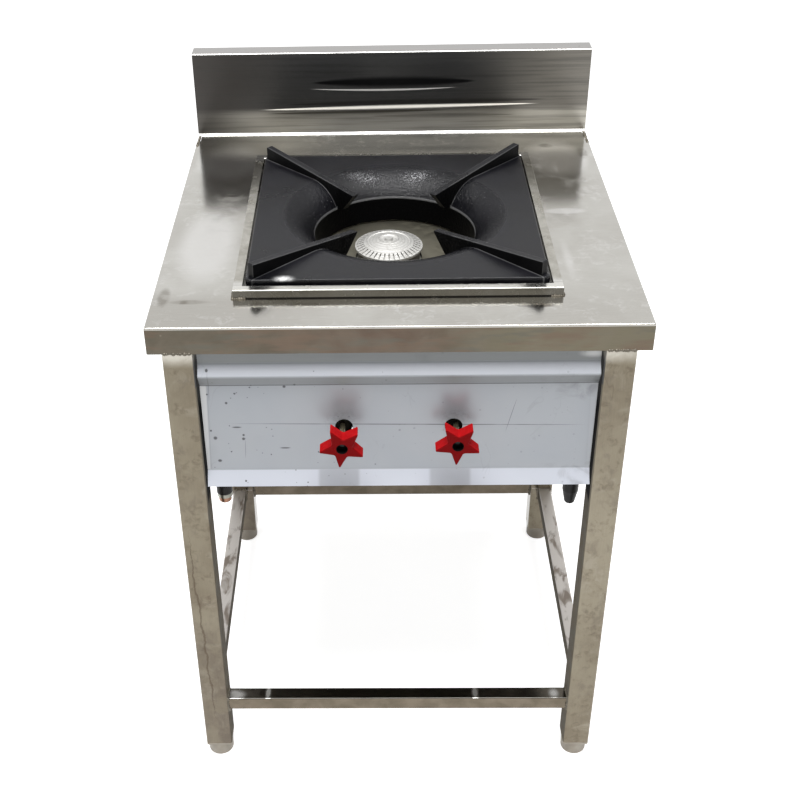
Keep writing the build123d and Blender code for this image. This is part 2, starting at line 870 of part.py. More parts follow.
def star(turn):
    points = []
    for index in range(2 * knob_points):
        radius = knob_radius if index % 2 == 0 else knob_root_radius
        angle = math.radians(turn - 90 + 180 / knob_points * index)
        points.append((radius * math.cos(angle), radius * math.sin(angle)))
    radii = [knob_tip_rounding, knob_root_rounding] * knob_points
    return make_face(FilletPolyline(*points, radius=radii, close=True))


def knob(x, reach, turn):
    # A five pointed star on a round hub, its front recessed where the spindle ends.
    hub_back = panel_y - reach
    star_back = hub_back - knob_hub_length
    front_face = star_back - knob_thickness
    body = Pos(x, star_back, spindle_height) * extrude(Plane.XZ * star(turn), knob_thickness)
    body = fillet(body.faces().sort_by(Axis.Y)[0].edges(), knob_edge)
    body += rod_along_y(x, spindle_height, star_back, hub_back, knob_hub_radius)
    body -= rod_along_y(x, spindle_height, front_face, front_face + knob_recess_depth, knob_recess_radius)
    return body - rod_along_y(x, spindle_height, front_face, hub_back, spindle_radius + seat_clearance)


# Gas tubes


def main_gas_tube():
    # Down from the valve, back under the manifold and up to the jet.
    riser_y = jet_end - jet_lead
    return swept_tube(
        [
            (main_spindle_x, valve_y, outlet_end),
            (main_spindle_x, valve_y, tube_run_z),
            (burner_x, valve_y, tube_run_z),
            (burner_x, riser_y, tube_run_z),
            (burner_x, riser_y, mixer_z),
            (burner_x, jet_end, mixer_z),
        ],
        main_tube_bend,
        main_tube_radius,
        tube_wall,
    )


def pilot_tube():
    return swept_tube(
        [
            (pilot_spindle_x, valve_y, outlet_end),
            (pilot_spindle_x, valve_y, tube_run_z),
            (pilot_tip_x, pilot_tip_y, tube_run_z),
            (pilot_tip_x, pilot_tip_y, pilot_tip_base),
        ],
        pilot_tube_bend,
        pilot_tube_radius,
        tube_wall,
    )


def pilot_tip():
    top = pilot_tip_base + pilot_tip_length
    tip = post(pilot_tip_x, pilot_tip_y, pilot_tip_base, top, pilot_tip_radius)
    return tip - post(pilot_tip_x, pilot_tip_y, pilot_tip_base, top, pilot_tip_bore)


# All pieces by name

parts = {
    "top_sheet": top_sheet(),
    "rim_frame": rim_frame(),
    "pan_support": pan_support(),
    "front_panel": front_panel(),
    "back_panel": back_panel(),
    "panel_screws": panel_screws(),
    "spill_tray": spill_tray(),
    "bearer_screws": bearer_screws(),
    "burner_bracket": burner_bracket(),
    "bracket_bolts": bracket_bolts(),
    "burner_body": burner_body(),
    "burner_cap": burner_cap(),
    "jet": jet(),
    "air_shutter": air_shutter(),
    "manifold_pipe": manifold_pipe(),
    "inlet_collar": inlet_collar(),
    "inlet_nipple": inlet_nipple(),
    "pipe_plug": pipe_plug(),
    "hanger_bolts": hanger_bolts(),
    "main_gas_tube": main_gas_tube(),
    "pilot_tube": pilot_tube(),
    "pilot_tip": pilot_tip(),
}

for side_name, side in (("left", -1), ("right", 1)):
    parts[f"leg_front_{side_name}"] = leg(side * leg_x, front_leg_y)
    parts[f"leg_back_{side_name}"] = leg(side * leg_x, back_leg_y)
    parts[f"foot_front_{side_name}"] = foot(side * leg_x, front_leg_y)
    parts[f"foot_back_{side_name}"] = foot(side * leg_x, back_leg_y)
    brace_x = side * (leg_x + leg_side / 2 - brace_setback - brace_side / 2)
    parts[f"brace_{side_name}"] = bar_along_y(brace_x, brace_z, brace_side, brace_wall, brace_corner)
    parts[f"rail_{side_name}"] = rail_along_y(side * leg_x)
    parts[f"side_panel_{side_name}"] = side_panel(side)
    parts[f"bearer_{side_name}"] = bearer(side)
    parts[f"elbow_{side_name}"] = elbow(side)
    parts[f"drop_pipe_{side_name}"] = drop_pipe(side)
    parts[f"manifold_hanger_{side_name}"] = hanger(side)

for end_name, leg_y, outward in (("front", front_leg_y, -1), ("back", back_leg_y, 1)):
    brace_y = leg_y + outward * (leg_side / 2 - brace_setback - brace_side / 2)
    parts[f"brace_{end_name}"] = bar_along_x(brace_y, brace_z, brace_side, brace_wall, brace_corner)
    parts[f"rail_{end_name}"] = rail_along_x(leg_y, -outward)

for valve_name, x, reach, turn, tube_radius in (
    ("main", main_spindle_x, main_knob_reach, main_knob_turn, main_tube_radius),
    ("pilot", pilot_spindle_x, pilot_knob_reach, pilot_knob_turn, pilot_tube_radius),
):
    parts[f"{valve_name}_valve"] = valve(x)
    parts[f"{valve_name}_gland_nut"] = gland_nut(x)
    parts[f"{valve_name}_union_nut"] = union_nut(x, tube_radius)
    parts[f"{valve_name}_spindle"] = spindle(x, reach)
    parts[f"{valve_name}_knob"] = knob(x, reach, turn)

os.makedirs("parts", exist_ok=True)
for name, shape in parts.items():
    export_step(shape, f"parts/{name}.step")
print(len(parts), "nodes")
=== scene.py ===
import math
import bpy
from mathutils import Matrix, Vector


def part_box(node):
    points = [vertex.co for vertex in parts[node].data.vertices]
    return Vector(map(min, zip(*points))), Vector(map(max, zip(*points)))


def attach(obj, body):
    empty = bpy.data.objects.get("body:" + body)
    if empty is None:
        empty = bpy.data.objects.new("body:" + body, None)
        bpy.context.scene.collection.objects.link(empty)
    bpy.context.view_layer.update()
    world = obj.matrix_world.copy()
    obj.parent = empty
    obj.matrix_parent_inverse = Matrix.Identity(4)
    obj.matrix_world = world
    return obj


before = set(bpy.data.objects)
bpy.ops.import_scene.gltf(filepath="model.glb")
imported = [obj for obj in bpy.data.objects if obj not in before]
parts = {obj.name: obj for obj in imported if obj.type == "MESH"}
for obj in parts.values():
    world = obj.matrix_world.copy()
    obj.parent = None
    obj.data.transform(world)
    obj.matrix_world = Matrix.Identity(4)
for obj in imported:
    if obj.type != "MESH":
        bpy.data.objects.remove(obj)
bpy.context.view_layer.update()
print("frame loaded:", len(parts), "nodes")

# Places that the finishes and the welds are worked out from, in metres
splashStep = 0.0598  # from the back legs to the splash back's face
sheetLow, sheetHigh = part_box("top_sheet")
rimLow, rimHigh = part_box("rim_frame")
grateLow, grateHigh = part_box("pan_support")
panelLow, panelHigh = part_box("front_panel")
tableTop = rimLow.z
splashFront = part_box("leg_back_left")[1].y + splashStep
grateMid = (grateLow + grateHigh) / 2
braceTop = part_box("brace_left")[1].z
spindleLow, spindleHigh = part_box("main_spindle")
spindleHeight = (spindleLow.z + spindleHigh.z) / 2


# Small helpers for objects and node trees
def addObject(name, data):
    thing = bpy.data.objects.new(name, data)
    bpy.context.scene.collection.objects.link(thing)
    return thing


work = {"tree": None}  # the node tree being made


def openTree(owner):
    owner.use_nodes = True
    work["tree"] = owner.node_tree
    work["tree"].nodes.clear()


def feed(socket, value):
    if isinstance(value, bpy.types.NodeSocket):
        work["tree"].links.new(value, socket)
    elif socket.type == "RGBA" and len(value) == 3:
        socket.default_value = (*value, 1.0)
    else:
        socket.default_value = value


def feedAll(sockets, feeds):
    for key, value in feeds.items():
        feed(sockets[key], value)


def put(kind, feeds=None, **settings):
    node = work["tree"].nodes.new(kind)
    for key, value in settings.items():
        setattr(node, key, value)
    feedAll(node.inputs, feeds or {})
    return node


def maths(operation, first, second=0.0, clamp=False):
    feeds = {0: first, 1: second}
    return put("ShaderNodeMath", feeds, operation=operation, use_clamp=clamp).outputs[0]


def times(first, *others):
    for other in others:
        first = maths("MULTIPLY", first, other)
    return first


def plus(first, *others):
    for other in others:
        first = maths("ADD", first, other)
    return first


def larger(first, *others):
    for other in others:
        first = maths("MAXIMUM", first, other)
    return first


def minus(first, second, clamp=False):
    return maths("SUBTRACT", first, second, clamp)


def absolute(value):
    return maths("ABSOLUTE", value)


def ramp(value, low, high, atLow=0.0, atHigh=1.0):
    ends = {"Value": value, "From Min": low, "From Max": high, "To Min": atLow, "To Max": atHigh}
    return put("ShaderNodeMapRange", ends, interpolation_type="SMOOTHSTEP").outputs[0]


def fade(value, low, high, share=1.0):
    return ramp(value, low, high, share, 0.0)


def above(value, place, soft):
    return ramp(value, place - soft, place + soft)


def below(value, place, soft):
    return fade(value, place - soft, place + soft)


def band(value, low, high, soft):
    return times(above(value, low, soft), below(value, high, soft))


def radius(first, second, middle=(0.0, 0.0)):
    # distance from a middle point, measured in one plane
    offsets = [minus(value, at) for value, at in zip((first, second), middle)]
    squares = [times(offset, offset) for offset in offsets]
    return maths("SQRT", plus(*squares))


def spotLook(first, second, wide, tall, **more):
    return {"middle": (first, second), "reach": (wide, tall), **more}


def spot(first, second, look):
    # a soft ellipse
    shares = []
    for value, middle, reach in zip((first, second), look["middle"], look["reach"]):
        shares.append(maths("DIVIDE", minus(value, middle), reach))
    return fade(radius(*shares), look.get("core", 0.45), 1.0)


def anySpot(first, second, looks):
    return larger(*[spot(first, second, look) for look in looks])


def strokeLook(height, middle, reach, half, strength, **more):
    numbers = {"height": height, "middle": middle, "reach": reach, "half": half, "strength": strength}
    return {**numbers, **more}


def stroke(along, across, look):
    # a line that tapers to both ends, level, tilted or sagging
    off = minus(along, look["middle"])
    bow = times(off, off, look.get("sag", 0.0))
    line = plus(times(off, look.get("tilt", 0.0)), bow)
    away = absolute(minus(minus(across, look["height"]), line))
    share = maths("DIVIDE", off, look["reach"])
    taper = minus(1.0, times(share, share), clamp=True)
    half = plus(times(taper, look["half"]), 1e-5)
    mask = fade(away, times(half, 0.3), times(half, 1.3))
    return times(mask, ramp(taper, 0.0, 0.3), look["strength"])


def tint(mask, first, second, share=1.0, blend="MIX"):
    if share != 1.0:
        mask = times(mask, share)
    feeds = {0: mask, 6: first, 7: second}
    return put("ShaderNodeMix", feeds, data_type="RGBA", blend_type=blend).outputs[2]


def overlay(amount, colour, grain):
    return tint(amount, colour, grain, blend="OVERLAY")


def layered(look, colour, *layers):
    # lays tones over a colour, each as its mask, its name in the look or itself, and its share
    colour = look.get(colour, colour)
    for mask, tone, *share in layers:
        colour = tint(mask, colour, look.get(tone, tone), *share)
    return colour


def blendValue(mask, first, second):
    return put("ShaderNodeMix", {0: mask, 2: first, 3: second}, data_type="FLOAT").outputs[0]


def noise(at, scale, detail=2.0, rough=0.5, warp=0.0):
    feeds = {"Vector": at, "Scale": scale, "Detail": detail, "Roughness": rough, "Distortion": warp}
    return put("ShaderNodeTexNoise", feeds).outputs[0]


def stretched(at, scale=(1, 1, 1), shift=(0, 0, 0), turn=(0, 0, 0)):
    feeds = {"Vector": at, "Scale": scale, "Location": shift, "Rotation": turn}
    return put("ShaderNodeMapping", feeds).outputs[0]


def bump(height, strength, distance):
    feeds = {"Height": height, "Strength": strength, "Distance": distance}
    return put("ShaderNodeBump", feeds).outputs[0]


def makeGroup(name, inputs, outputs):
    group = bpy.data.node_groups.new(name, "ShaderNodeTree")
    work["tree"] = group
    for label, value in inputs.items():
        kind = "NodeSocketVector" if isinstance(value, tuple) else "NodeSocketFloat"
        group.interface.new_socket(label, in_out="INPUT", socket_type=kind).default_value = value
    for label in outputs:
        group.interface.new_socket(label, in_out="OUTPUT", socket_type="NodeSocketFloat")
    return group, group.nodes.new("NodeGroupInput").outputs, group.nodes.new("NodeGroupOutput").inputs


def use(group, **feeds):
    return put("ShaderNodeGroup", feeds, node_tree=group).outputs


def newFinish(name):
    finish = bpy.data.materials.new(name)
    openTree(finish)
    surface = put("ShaderNodeBsdfPrincipled")
    end = put("ShaderNodeOutputMaterial", {"Surface": surface.outputs[0]})
    end.is_active_output = True
    at = put("ShaderNodeTexCoord").outputs["Object"]
    axes = put("ShaderNodeSeparateXYZ", {0: at}).outputs
    return finish, surface.inputs, at, axes


# Effects that several finishes share
effectLook = {
    "finer": 3.3,  # a smudge's second noise, against its first
    "broadSpan": (0.3, 0.7),
    "patchSpan": (0.26, 0.42),
    "ragged": 4.0,  # noise per speck
    "fray": 0.12,
    "dotEdge": 0.06,
    "breaks": 0.6,  # gaps per hairline
}


def makeBrushed():
    inputs = {"at": (0, 0, 0), "stretch": (1, 1, 1), "fine": 900.0}
    group, given, out = makeGroup("brushedGrain", inputs, ["grain"])
    feeds = {0: given["at"], 1: given["stretch"]}
    drawn = put("ShaderNodeVectorMath", feeds, operation="MULTIPLY").outputs[0]
    feed(out["grain"], noise(drawn, given["fine"], detail=3.0, rough=0.6))
    return group


def makeSmudges(look):
    group, given, out = makeGroup("smudges", {"at": (0, 0, 0), "size": 0.08}, ["broad", "patch"])
    perMetre = maths("DIVIDE", 1.0, given["size"])
    finer = times(perMetre, look["finer"])
    broad = noise(given["at"], perMetre, detail=3.0, rough=0.55, warp=0.4)
    small = noise(given["at"], finer, detail=4.0, rough=0.6, warp=0.8)
    feed(out["broad"], ramp(broad, *look["broadSpan"]))
    feed(out["patch"], ramp(times(broad, small), *look["patchSpan"]))
    return group


def makeSpecks(look):
    inputs = {"at": (0, 0, 0), "gap": 0.02, "dot": 0.1, "share": 0.2}
    group, given, out = makeGroup("specks", inputs, ["speck"])
    perMetre = maths("DIVIDE", 1.0, given["gap"])
    ragged = noise(given["at"], times(perMetre, look["ragged"]))
    cells = put("ShaderNodeTexVoronoi", {"Vector": given["at"], "Scale": perMetre})
    reach = plus(cells.outputs["Distance"], times(ragged, look["fray"]))
    pick = put("ShaderNodeSeparateColor", {"Color": cells.outputs["Color"]}).outputs[0]
    chosen = maths("LESS_THAN", pick, given["share"])
    dot = maths("LESS_THAN", reach, plus(given["dot"], look["dotEdge"]))
    feed(out["speck"], times(dot, chosen))
    return group


def makeHairlines(look):
    inputs = {"at": (0, 0, 0), "scale": 12.0, "width": 0.01, "cover": 0.5}
    group, given, out = makeGroup("hairlines", inputs, ["line"])
    field = noise(given["at"], given["scale"], detail=3.0, warp=0.6)
    off = absolute(minus(field, 0.5))
    line = minus(1.0, maths("DIVIDE", off, given["width"]), clamp=True)
    patchy = noise(given["at"], times(given["scale"], look["breaks"]), detail=1.0)
    kept = maths("LESS_THAN", patchy, given["cover"])
    feed(out["line"], times(line, kept))
    return group


brushed = makeBrushed()
smudges = makeSmudges(effectLook)
specks = makeSpecks(effectLook)
hairlines = makeHairlines(effectLook)
print("shared effects made")

# In the looks below a span is from, to and the share at each end, a band is low, high and softness.
# Both are in metres where they follow a place.

# Table top, fascia, splash back and return: one folded sheet; each face has its own tone, the fascia and
# splash back painted dark as a reflection
topFinish = {
    "table": (0.59, 0.58, 0.545),
    "tableDull": (0.5, 0.485, 0.45),
    "tablePale": (0.74, 0.73, 0.71),
    "tablePatch": (0.72, 0.71, 0.69),
    "tableFront": (0.47, 0.455, 0.42),
    "tableBack": (0.31, 0.31, 0.31),
    "fascia": (0.088, 0.076, 0.058),
    "fasciaRed": (0.095, 0.07, 0.054),
    "fasciaGreen": (0.135, 0.122, 0.086),
    "fasciaPale": (0.145, 0.128, 0.102),
    "fasciaGrey": (0.098, 0.094, 0.078),
    "fasciaBrown": (0.122, 0.09, 0.068),
    "splashLeft": (0.054, 0.05, 0.047),
    "splashMid": (0.088, 0.088, 0.088),
    "splashRight": (0.17, 0.16, 0.142),
    "splashLow": (0.44, 0.42, 0.37),
    "splashWave": (0.05, 0.05, 0.048),
    "returnTop": (0.41, 0.4, 0.39),
    "bend": (0.88, 0.87, 0.84),
    "frontBendHighlight": (0.2, 0.19, 0.165),
    "stain": (0.16, 0.14, 0.11),
    "markSize": 0.11,
    "fineSize": 0.035,
    "frontSpan": (-0.012, 0.03, 1.0, 0.0),  # behind the rim's front
    "leftSpan": (-0.02, 0.16, 1.0, 0.15),  # from the rim's left
    "backSpan": (0.01, 0.05),  # behind the rim's back
    "backBand": (-0.13, 0.15, 0.06),
    "smearSpan": (0.1, 0.6, 0.4, 1.0),
    "redBand": (-0.12, 0.06, 0.08),
    "greenSpan": (0.02, 0.16, 0.0, 0.8),
    "streakSpan": (0.48, 0.66, 0.0, 0.7),
    "rightSpan": (0.08, 0.27),
    "darkSpan": (-0.1, -0.26),
    "lowSpan": (0.03, 0.044, 0.8, 0.0),  # above the table
    "lowFade": (-0.3, -0.16, 0.12, 1.0),
    "waveSpan": (0.45, 0.7, 0.0, 0.35),
    "fasciaDrop": 0.0026,  # the fascia starts below the table
    "splashRise": 0.00275,  # and the splash back above it
    "returnDeep": 0.002,  # the return starts behind the splash back's face
    "foldDeep": 0.00125,  # front fold, behind the fascia's face
    "foldDrop": 0.00135,
    "baseFold": 0.0038,  # lower fold, in front of the splash back
    "baseBand": (0.0008, 0.0024, 0.0005),
    "headFold": 0.0017,  # upper fold, below the top
    "headDeep": 0.0018,
    "grain": 0.1,
    "tableRough": (0.15, 0.26),
    "splashRough": (0.3, 0.55),  # dark, bright lines
    "fasciaRough": 0.3,
    "foldRough": 0.38,
    "tableSwell": 0.06,  # against the splash back's
}
# Painted reflection lines on the splash back, the pan support mirrored in it, in metres from the middle
# and above the table
splashReflectionLines = [
    strokeLook(0.0825, 0.004, 0.132, 0.0095, 0.9, tone=(0.006, 0.006, 0.007)),
    strokeLook(0.07, -0.012, 0.118, 0.0018, 0.75, tone=(0.8, 0.79, 0.77), sag=0.22),
    strokeLook(0.05, 0.04, 0.21, 0.005, 0.75, tone=(0.04, 0.038, 0.036), tilt=0.01),
    strokeLook(0.0425, 0.012, 0.225, 0.0034, 1.0, tone=(0.98, 0.95, 0.88), tilt=0.012),
    strokeLook(0.035, -0.05, 0.15, 0.0028, 0.8, tone=(0.05, 0.045, 0.036), tilt=0.01),
    strokeLook(0.0275, 0.08, 0.12, 0.003, 0.5, tone=(0.09, 0.085, 0.075)),
]
# Smears and glare on the table, in metres from the middle of the rim
tableSmears = [
    spotLook(-0.258, -0.217, 0.03, 0.007, strength=0.75),
    spotLook(-0.29, -0.205, 0.01, 0.03, strength=0.5),
    spotLook(0.168, -0.232, 0.03, 0.008, strength=0.85),
    spotLook(-0.12, -0.226, 0.04, 0.005, strength=0.45),
    spotLook(0.236, 0.262, 0.014, 0.01, strength=0.45),
    spotLook(0.288, 0.235, 0.01, 0.03, strength=0.45),
]
tableGlare = [
    spotLook(0.236, 0.03, 0.034, 0.012, strength=0.9),
    spotLook(0.222, -0.115, 0.009, 0.07, strength=0.5, core=0.1),
    spotLook(-0.25, -0.06, 0.05, 0.13, strength=0.8),
    spotLook(0.245, 0.215, 0.055, 0.08, strength=1.0, tone=(0.98, 0.97, 0.95)),
    spotLook(-0.245, 0.215, 0.06, 0.08, strength=0.9, tone=(0.95, 0.95, 0.93)),
]


def topSteel():
    look = topFinish
    finish, surface, at, (x, y, z) = newFinish("topSteel")
    lift = minus(z, tableTop)
    rimX = minus(x, grateMid.x)
    rimY = minus(y, grateMid.y)
    mark = use(smudges, at=at, size=look["markSize"])
    fine = use(smudges, at=stretched(at, shift=(3, 1, 2)), size=look["fineSize"])
    across = use(brushed, at=at, stretch=(0.03, 1, 1), fine=1400.0)["grain"]
    dots = use(specks, at=at, gap=0.013, dot=0.1, share=0.1)["speck"]
    table = tint(mark["broad"], look["table"], look["tableDull"])
    for glare in tableGlare:
        tone = glare.get("tone", look["tablePale"])
        table = tint(spot(rimX, rimY, glare), table, tone, glare["strength"])
    frontLeft = times(
        ramp(minus(y, rimLow.y), *look["frontSpan"]),
        ramp(minus(x, rimLow.x), *look["leftSpan"]),
    )
    backMiddle = times(ramp(minus(y, rimHigh.y), *look["backSpan"]), band(x, *look["backBand"]))
    table = layered(
        look, table,
        (frontLeft, "tableFront"),
        (backMiddle, "tableBack"),
        (fine["patch"], "tablePatch", 0.35),
    )
    patchy = ramp(fine["broad"], *look["smearSpan"])
    for smear in tableSmears:
        mask = times(spot(rimX, rimY, smear), patchy)
        table = tint(mask, table, look["stain"], smear["strength"])
    # front fascia, painted dark as a reflection, warmer in the middle and greener to the right
    onFascia = below(lift, -look["fasciaDrop"], 0.0004)
    fascia = layered(
        look, "fascia",
        (band(x, *look["redBand"]), "fasciaRed"),
        (ramp(x, *look["greenSpan"]), "fasciaGreen"),
        (fine["broad"], "fasciaPale", 0.4),
    )
    for tone, shift in (("fasciaGrey", (4, 1, 3)), ("fasciaBrown", (7, 2, 5))):
        streaks = noise(stretched(at, (1, 1, 5), shift), 13.0, detail=3.0, rough=0.6)
        fascia = tint(ramp(streaks, *look["streakSpan"]), fascia, look[tone])
    # splash back, painted dark as a reflection, darker to the left and paler low down, with painted
    # reflection lines across its middle
    onSplash = above(lift, look["splashRise"], 0.00125)
    lowBand = times(ramp(lift, *look["lowSpan"]), ramp(x, *look["lowFade"]))
    wave = noise(stretched(at, (0.9, 1, 34)), 6.0, detail=3.0)
    splash = layered(
        look, "splashMid",
        (ramp(x, *look["rightSpan"]), "splashRight"),
        (ramp(x, *look["darkSpan"]), "splashLeft"),
        (lowBand, "splashLow"),
        (ramp(wave, *look["waveSpan"]), "splashWave"),
    )
    bright = 0.0
    for line in splashReflectionLines:
        mask = stroke(x, lift, line)
        splash = tint(mask, splash, line["tone"])
        if line["tone"][0] > 0.5:
            bright = larger(bright, mask)
    behind = above(y, splashFront + look["returnDeep"], 0.0004)
    splash = tint(behind, splash, look["returnTop"])
    # the folds are painted bright as highlights
    frontFold = times(
        below(y, sheetLow.y + look["foldDeep"], 0.00035),
        above(lift, -look["foldDrop"], 0.00035),
    )
    baseFold = times(above(y, splashFront - look["baseFold"], 0.0004), band(lift, *look["baseBand"]))
    headFold = times(
        above(z, sheetHigh.z - look["headFold"], 0.0003),
        below(y, splashFront + look["headDeep"], 0.0004),
    )
    fold = larger(frontFold, baseFold, headFold)
    colour = layered(
        look, table,
        (onFascia, fascia),
        (onSplash, splash),
        (fold, tint(frontFold, look["bend"], look["frontBendHighlight"])),
        (times(dots, larger(behind, onFascia)), "stain", 0.75),
    )
    rough = blendValue(mark["patch"], *look["tableRough"])
    rough = blendValue(onSplash, rough, blendValue(bright, *look["splashRough"]))
    rough = blendValue(onFascia, rough, look["fasciaRough"])
    # the splash back is drawn in long shallow waves, the table is nearly flat
    swell = noise(stretched(at, (2.0, 1, 34.0)), 1.0, rough=0.4)
    height = plus(times(swell, onSplash), times(mark["broad"], look["tableSwell"]))
    feedAll(surface, {
        "Base Color": overlay(look["grain"], colour, across),
        "Metallic": 1.0,
        "Roughness": blendValue(fold, rough, look["foldRough"]),
        "Normal": bump(height, strength=1.0, distance=0.0007),
    })
    return finish


# Square tube legs, braces and rails
legFinish = {
    "tube": (0.186, 0.165, 0.124),
    "warm": (0.138, 0.117, 0.086),
    "pale": (0.262, 0.24, 0.194),
    "ground": (0.44, 0.42, 0.37),
    "rightPale": (0.228, 0.205, 0.157),
    "soiled": (0.105, 0.088, 0.072),
    "brace": (0.095, 0.079, 0.058),
    "braceRubbed": (0.215, 0.18, 0.14),
    "stain": (0.06, 0.042, 0.029),
    "gap": (0.006, 0.006, 0.006),
    "besidePanel": (0.185, 0.165, 0.128),
    "besideBeadShade": (0.105, 0.105, 0.105),
    "inner": (0.15, 0.14, 0.12),
    "frontTop": (0.06, 0.06, 0.058),
    "frontTopGlint": (0.92, 0.92, 0.9),
    "sideTop": (0.6, 0.57, 0.54),
    "sideDarkStreak": (0.24, 0.205, 0.175),
    "blotchSize": 0.09,
    "smallSize": 0.03,
    "spotSize": 0.045,
    "rightBand": (0.3, 0.55, 0.12),  # above the floor
    "soiledSpan": (0.36, 0.1, 0.0, 0.8),
    "soiledPatch": (0.0, 1.0, 0.4, 1.0),
    "crook": 0.012,  # how far the seam wanders
    "sideStreakSpan": (0.5, 0.68),
    "shadeStart": 0.0055,  # the painted shadow starts this far behind the leg's front
    "shadeBelow": 0.034,  # and reaches this far below the panel
    "beadRise": 0.1515,  # the panel's bead above its lip
    "headSpan": (-0.022, -0.004),  # below the fascia
    "groundPatch": (0.0, 1.0, 0.55, 0.95),
    "grain": 0.12,
    "roughSpan": (0.0015, 0.012, 0.14, 0.32),  # above the braces
    "glintAndTopRough": 0.3,
    "patchRough": 0.08,
    "dullRough": 0.72,
    "gloss": 0.05,
}
# Seam of the left front leg, in metres
legSeam = strokeLook(-0.268, 0.26, 0.19, 0.0017, 0.55, tilt=-0.03)
# Painted glints on top of the front brace, in metres from the middle and from its front
braceGlints = [
    spotLook(-0.24, 0.008, 0.022, 0.012, core=0.3),
    spotLook(-0.19, 0.011, 0.006, 0.018, core=0.3),
    spotLook(0.115, 0.011, 0.007, 0.018, core=0.3),
    spotLook(0.23, 0.01, 0.01, 0.012, core=0.1),
]


def legSteel():
    look = legFinish
    finish, surface, at, (x, y, z) = newFinish("legSteel")
    sideways = absolute(x)
    legLow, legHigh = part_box("leg_front_right")
    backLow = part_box("leg_back_right")[0]
    braceLow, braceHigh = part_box("brace_front")
    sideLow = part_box("brace_right")[0]
    blotch = use(smudges, at=at, size=look["blotchSize"])
    small = use(smudges, at=stretched(at, shift=(5, 2, 1)), size=look["smallSize"])
    longer = stretched(at, (1, 1, 0.7), (9, 4, 6))
    spots = use(smudges, at=longer, size=look["spotSize"])["patch"]
    along = use(brushed, at=at, stretch=(1, 1, 0.03), fine=1500.0)["grain"]
    upright = stretched(at, (1, 1, 0.28))
    crack = use(hairlines, at=upright, scale=26.0, width=0.012, cover=0.42)["line"]
    rightLeg = times(ramp(x, 0.0, legLow.x), band(z, *look["rightBand"]))
    soiled = times(
        ramp(x, 0.0, -legLow.x),
        ramp(z, *look["soiledSpan"]),
        ramp(small["broad"], *look["soiledPatch"]),
    )
    wander = times(noise(at, 45.0, detail=4.0, rough=0.6), look["crook"])
    onFront = below(y, legLow.y + 0.0012, 0.0002)
    seam = times(stroke(z, plus(x, wander), legSeam), onFront)
    # the braces are darker, and the side ones painted paler on top, with streaks, as a painted reflection
    atBrace = band(z, braceLow.z, braceHigh.z, 0.0004)
    betweenLegs = band(y, legHigh.y, backLow.y, 0.0004)
    crosswise = times(atBrace, below(sideways, legLow.x - 0.0002, 0.0002))
    braceTone = tint(small["broad"], look["brace"], look["braceRubbed"], 0.5)
    upper = times(
        band(z, braceTop - 0.0008, braceTop + 0.001, 0.0004),
        above(sideways, legLow.x - 0.001, 0.001),
        betweenLegs,
    )
    drawn = stretched(at, (1, 0.35, 1), (1, 4, 2))
    streak = noise(drawn, 60.0, detail=3.0, rough=0.6, warp=0.5)
    sideTone = tint(ramp(streak, *look["sideStreakSpan"]), look["sideTop"], look["sideDarkStreak"])
    # the faces that look at each other across the frame are made dull and darker as painted shade
    inward = band(sideways, legLow.x - 0.0006, legLow.x + 0.001, 0.0003)
    frontLeg = times(inward, band(y, legLow.y + 0.0008, legHigh.y - 0.0008, 0.0004))
    braceInner = band(sideways, sideLow.x - 0.0005, sideLow.x + 0.0007, 0.0002)
    dull = larger(frontLeg, times(betweenLegs, atBrace, braceInner))
    dullTone = tint(small["broad"], look["inner"], look["warm"])
    # the front brace's top is painted dark as a reflection of the dark inside, with a few painted glints
    frontTop = times(
        crosswise,
        above(z, braceTop - 0.00055, 0.00025),
        below(y, braceHigh.y + 0.0005, 0.0005),
    )
    glintOnBrace = times(anySpot(x, minus(y, braceLow.y), braceGlints), frontTop)
    # beside the panel a leg's inner face keeps its tone only at the front edge; behind that it is painted
    # black as the shadow in the gap, and grey as shade beside the bead
    besidePanel = times(frontLeg, above(z, panelLow.z - look["shadeBelow"], 0.006))
    besideTone = layered(
        look, "besidePanel",
        (above(z, panelLow.z + look["beadRise"], 0.0015), "besideBeadShade"),
        (above(y, legLow.y + look["shadeStart"], 0.001), "gap"),
    )
    # paler ground marks where a leg meets the top
    head = ramp(minus(z, sheetLow.z), *look["headSpan"])
    ground = times(head, ramp(small["broad"], *look["groundPatch"]))
    colour = layered(
        look, tint(blotch["broad"], look["tube"], look["warm"]),
        (rightLeg, "rightPale", 0.7),
        (blotch["patch"], "pale", 0.5),
        (small["patch"], "stain", 0.34),
        (spots, "soiled", 0.4),
        (crack, "stain", 0.25),
        (soiled, "soiled"),
        (seam, "stain"),
        (crosswise, braceTone, 0.85),
        (upper, sideTone, 0.95),
        (dull, dullTone, 0.9),
        (frontTop, "frontTop"),
        (glintOnBrace, "frontTopGlint"),
        (besidePanel, besideTone),
        (ground, "ground"),
    )
    rough = plus(
        ramp(minus(z, braceTop), *look["roughSpan"]),
        times(larger(glintOnBrace, upper), look["glintAndTopRough"]),
        times(blotch["patch"], look["patchRough"]),
    )
    feedAll(surface, {
        "Base Color": overlay(look["grain"], colour, along),
        "Metallic": minus(1.0, dull, clamp=True),
        "Roughness": blendValue(dull, rough, look["dullRough"]),
        "Specular IOR Level": look["gloss"],
        "Normal": bump(blotch["broad"], strength=0.04, distance=0.002),
    })
    return finish


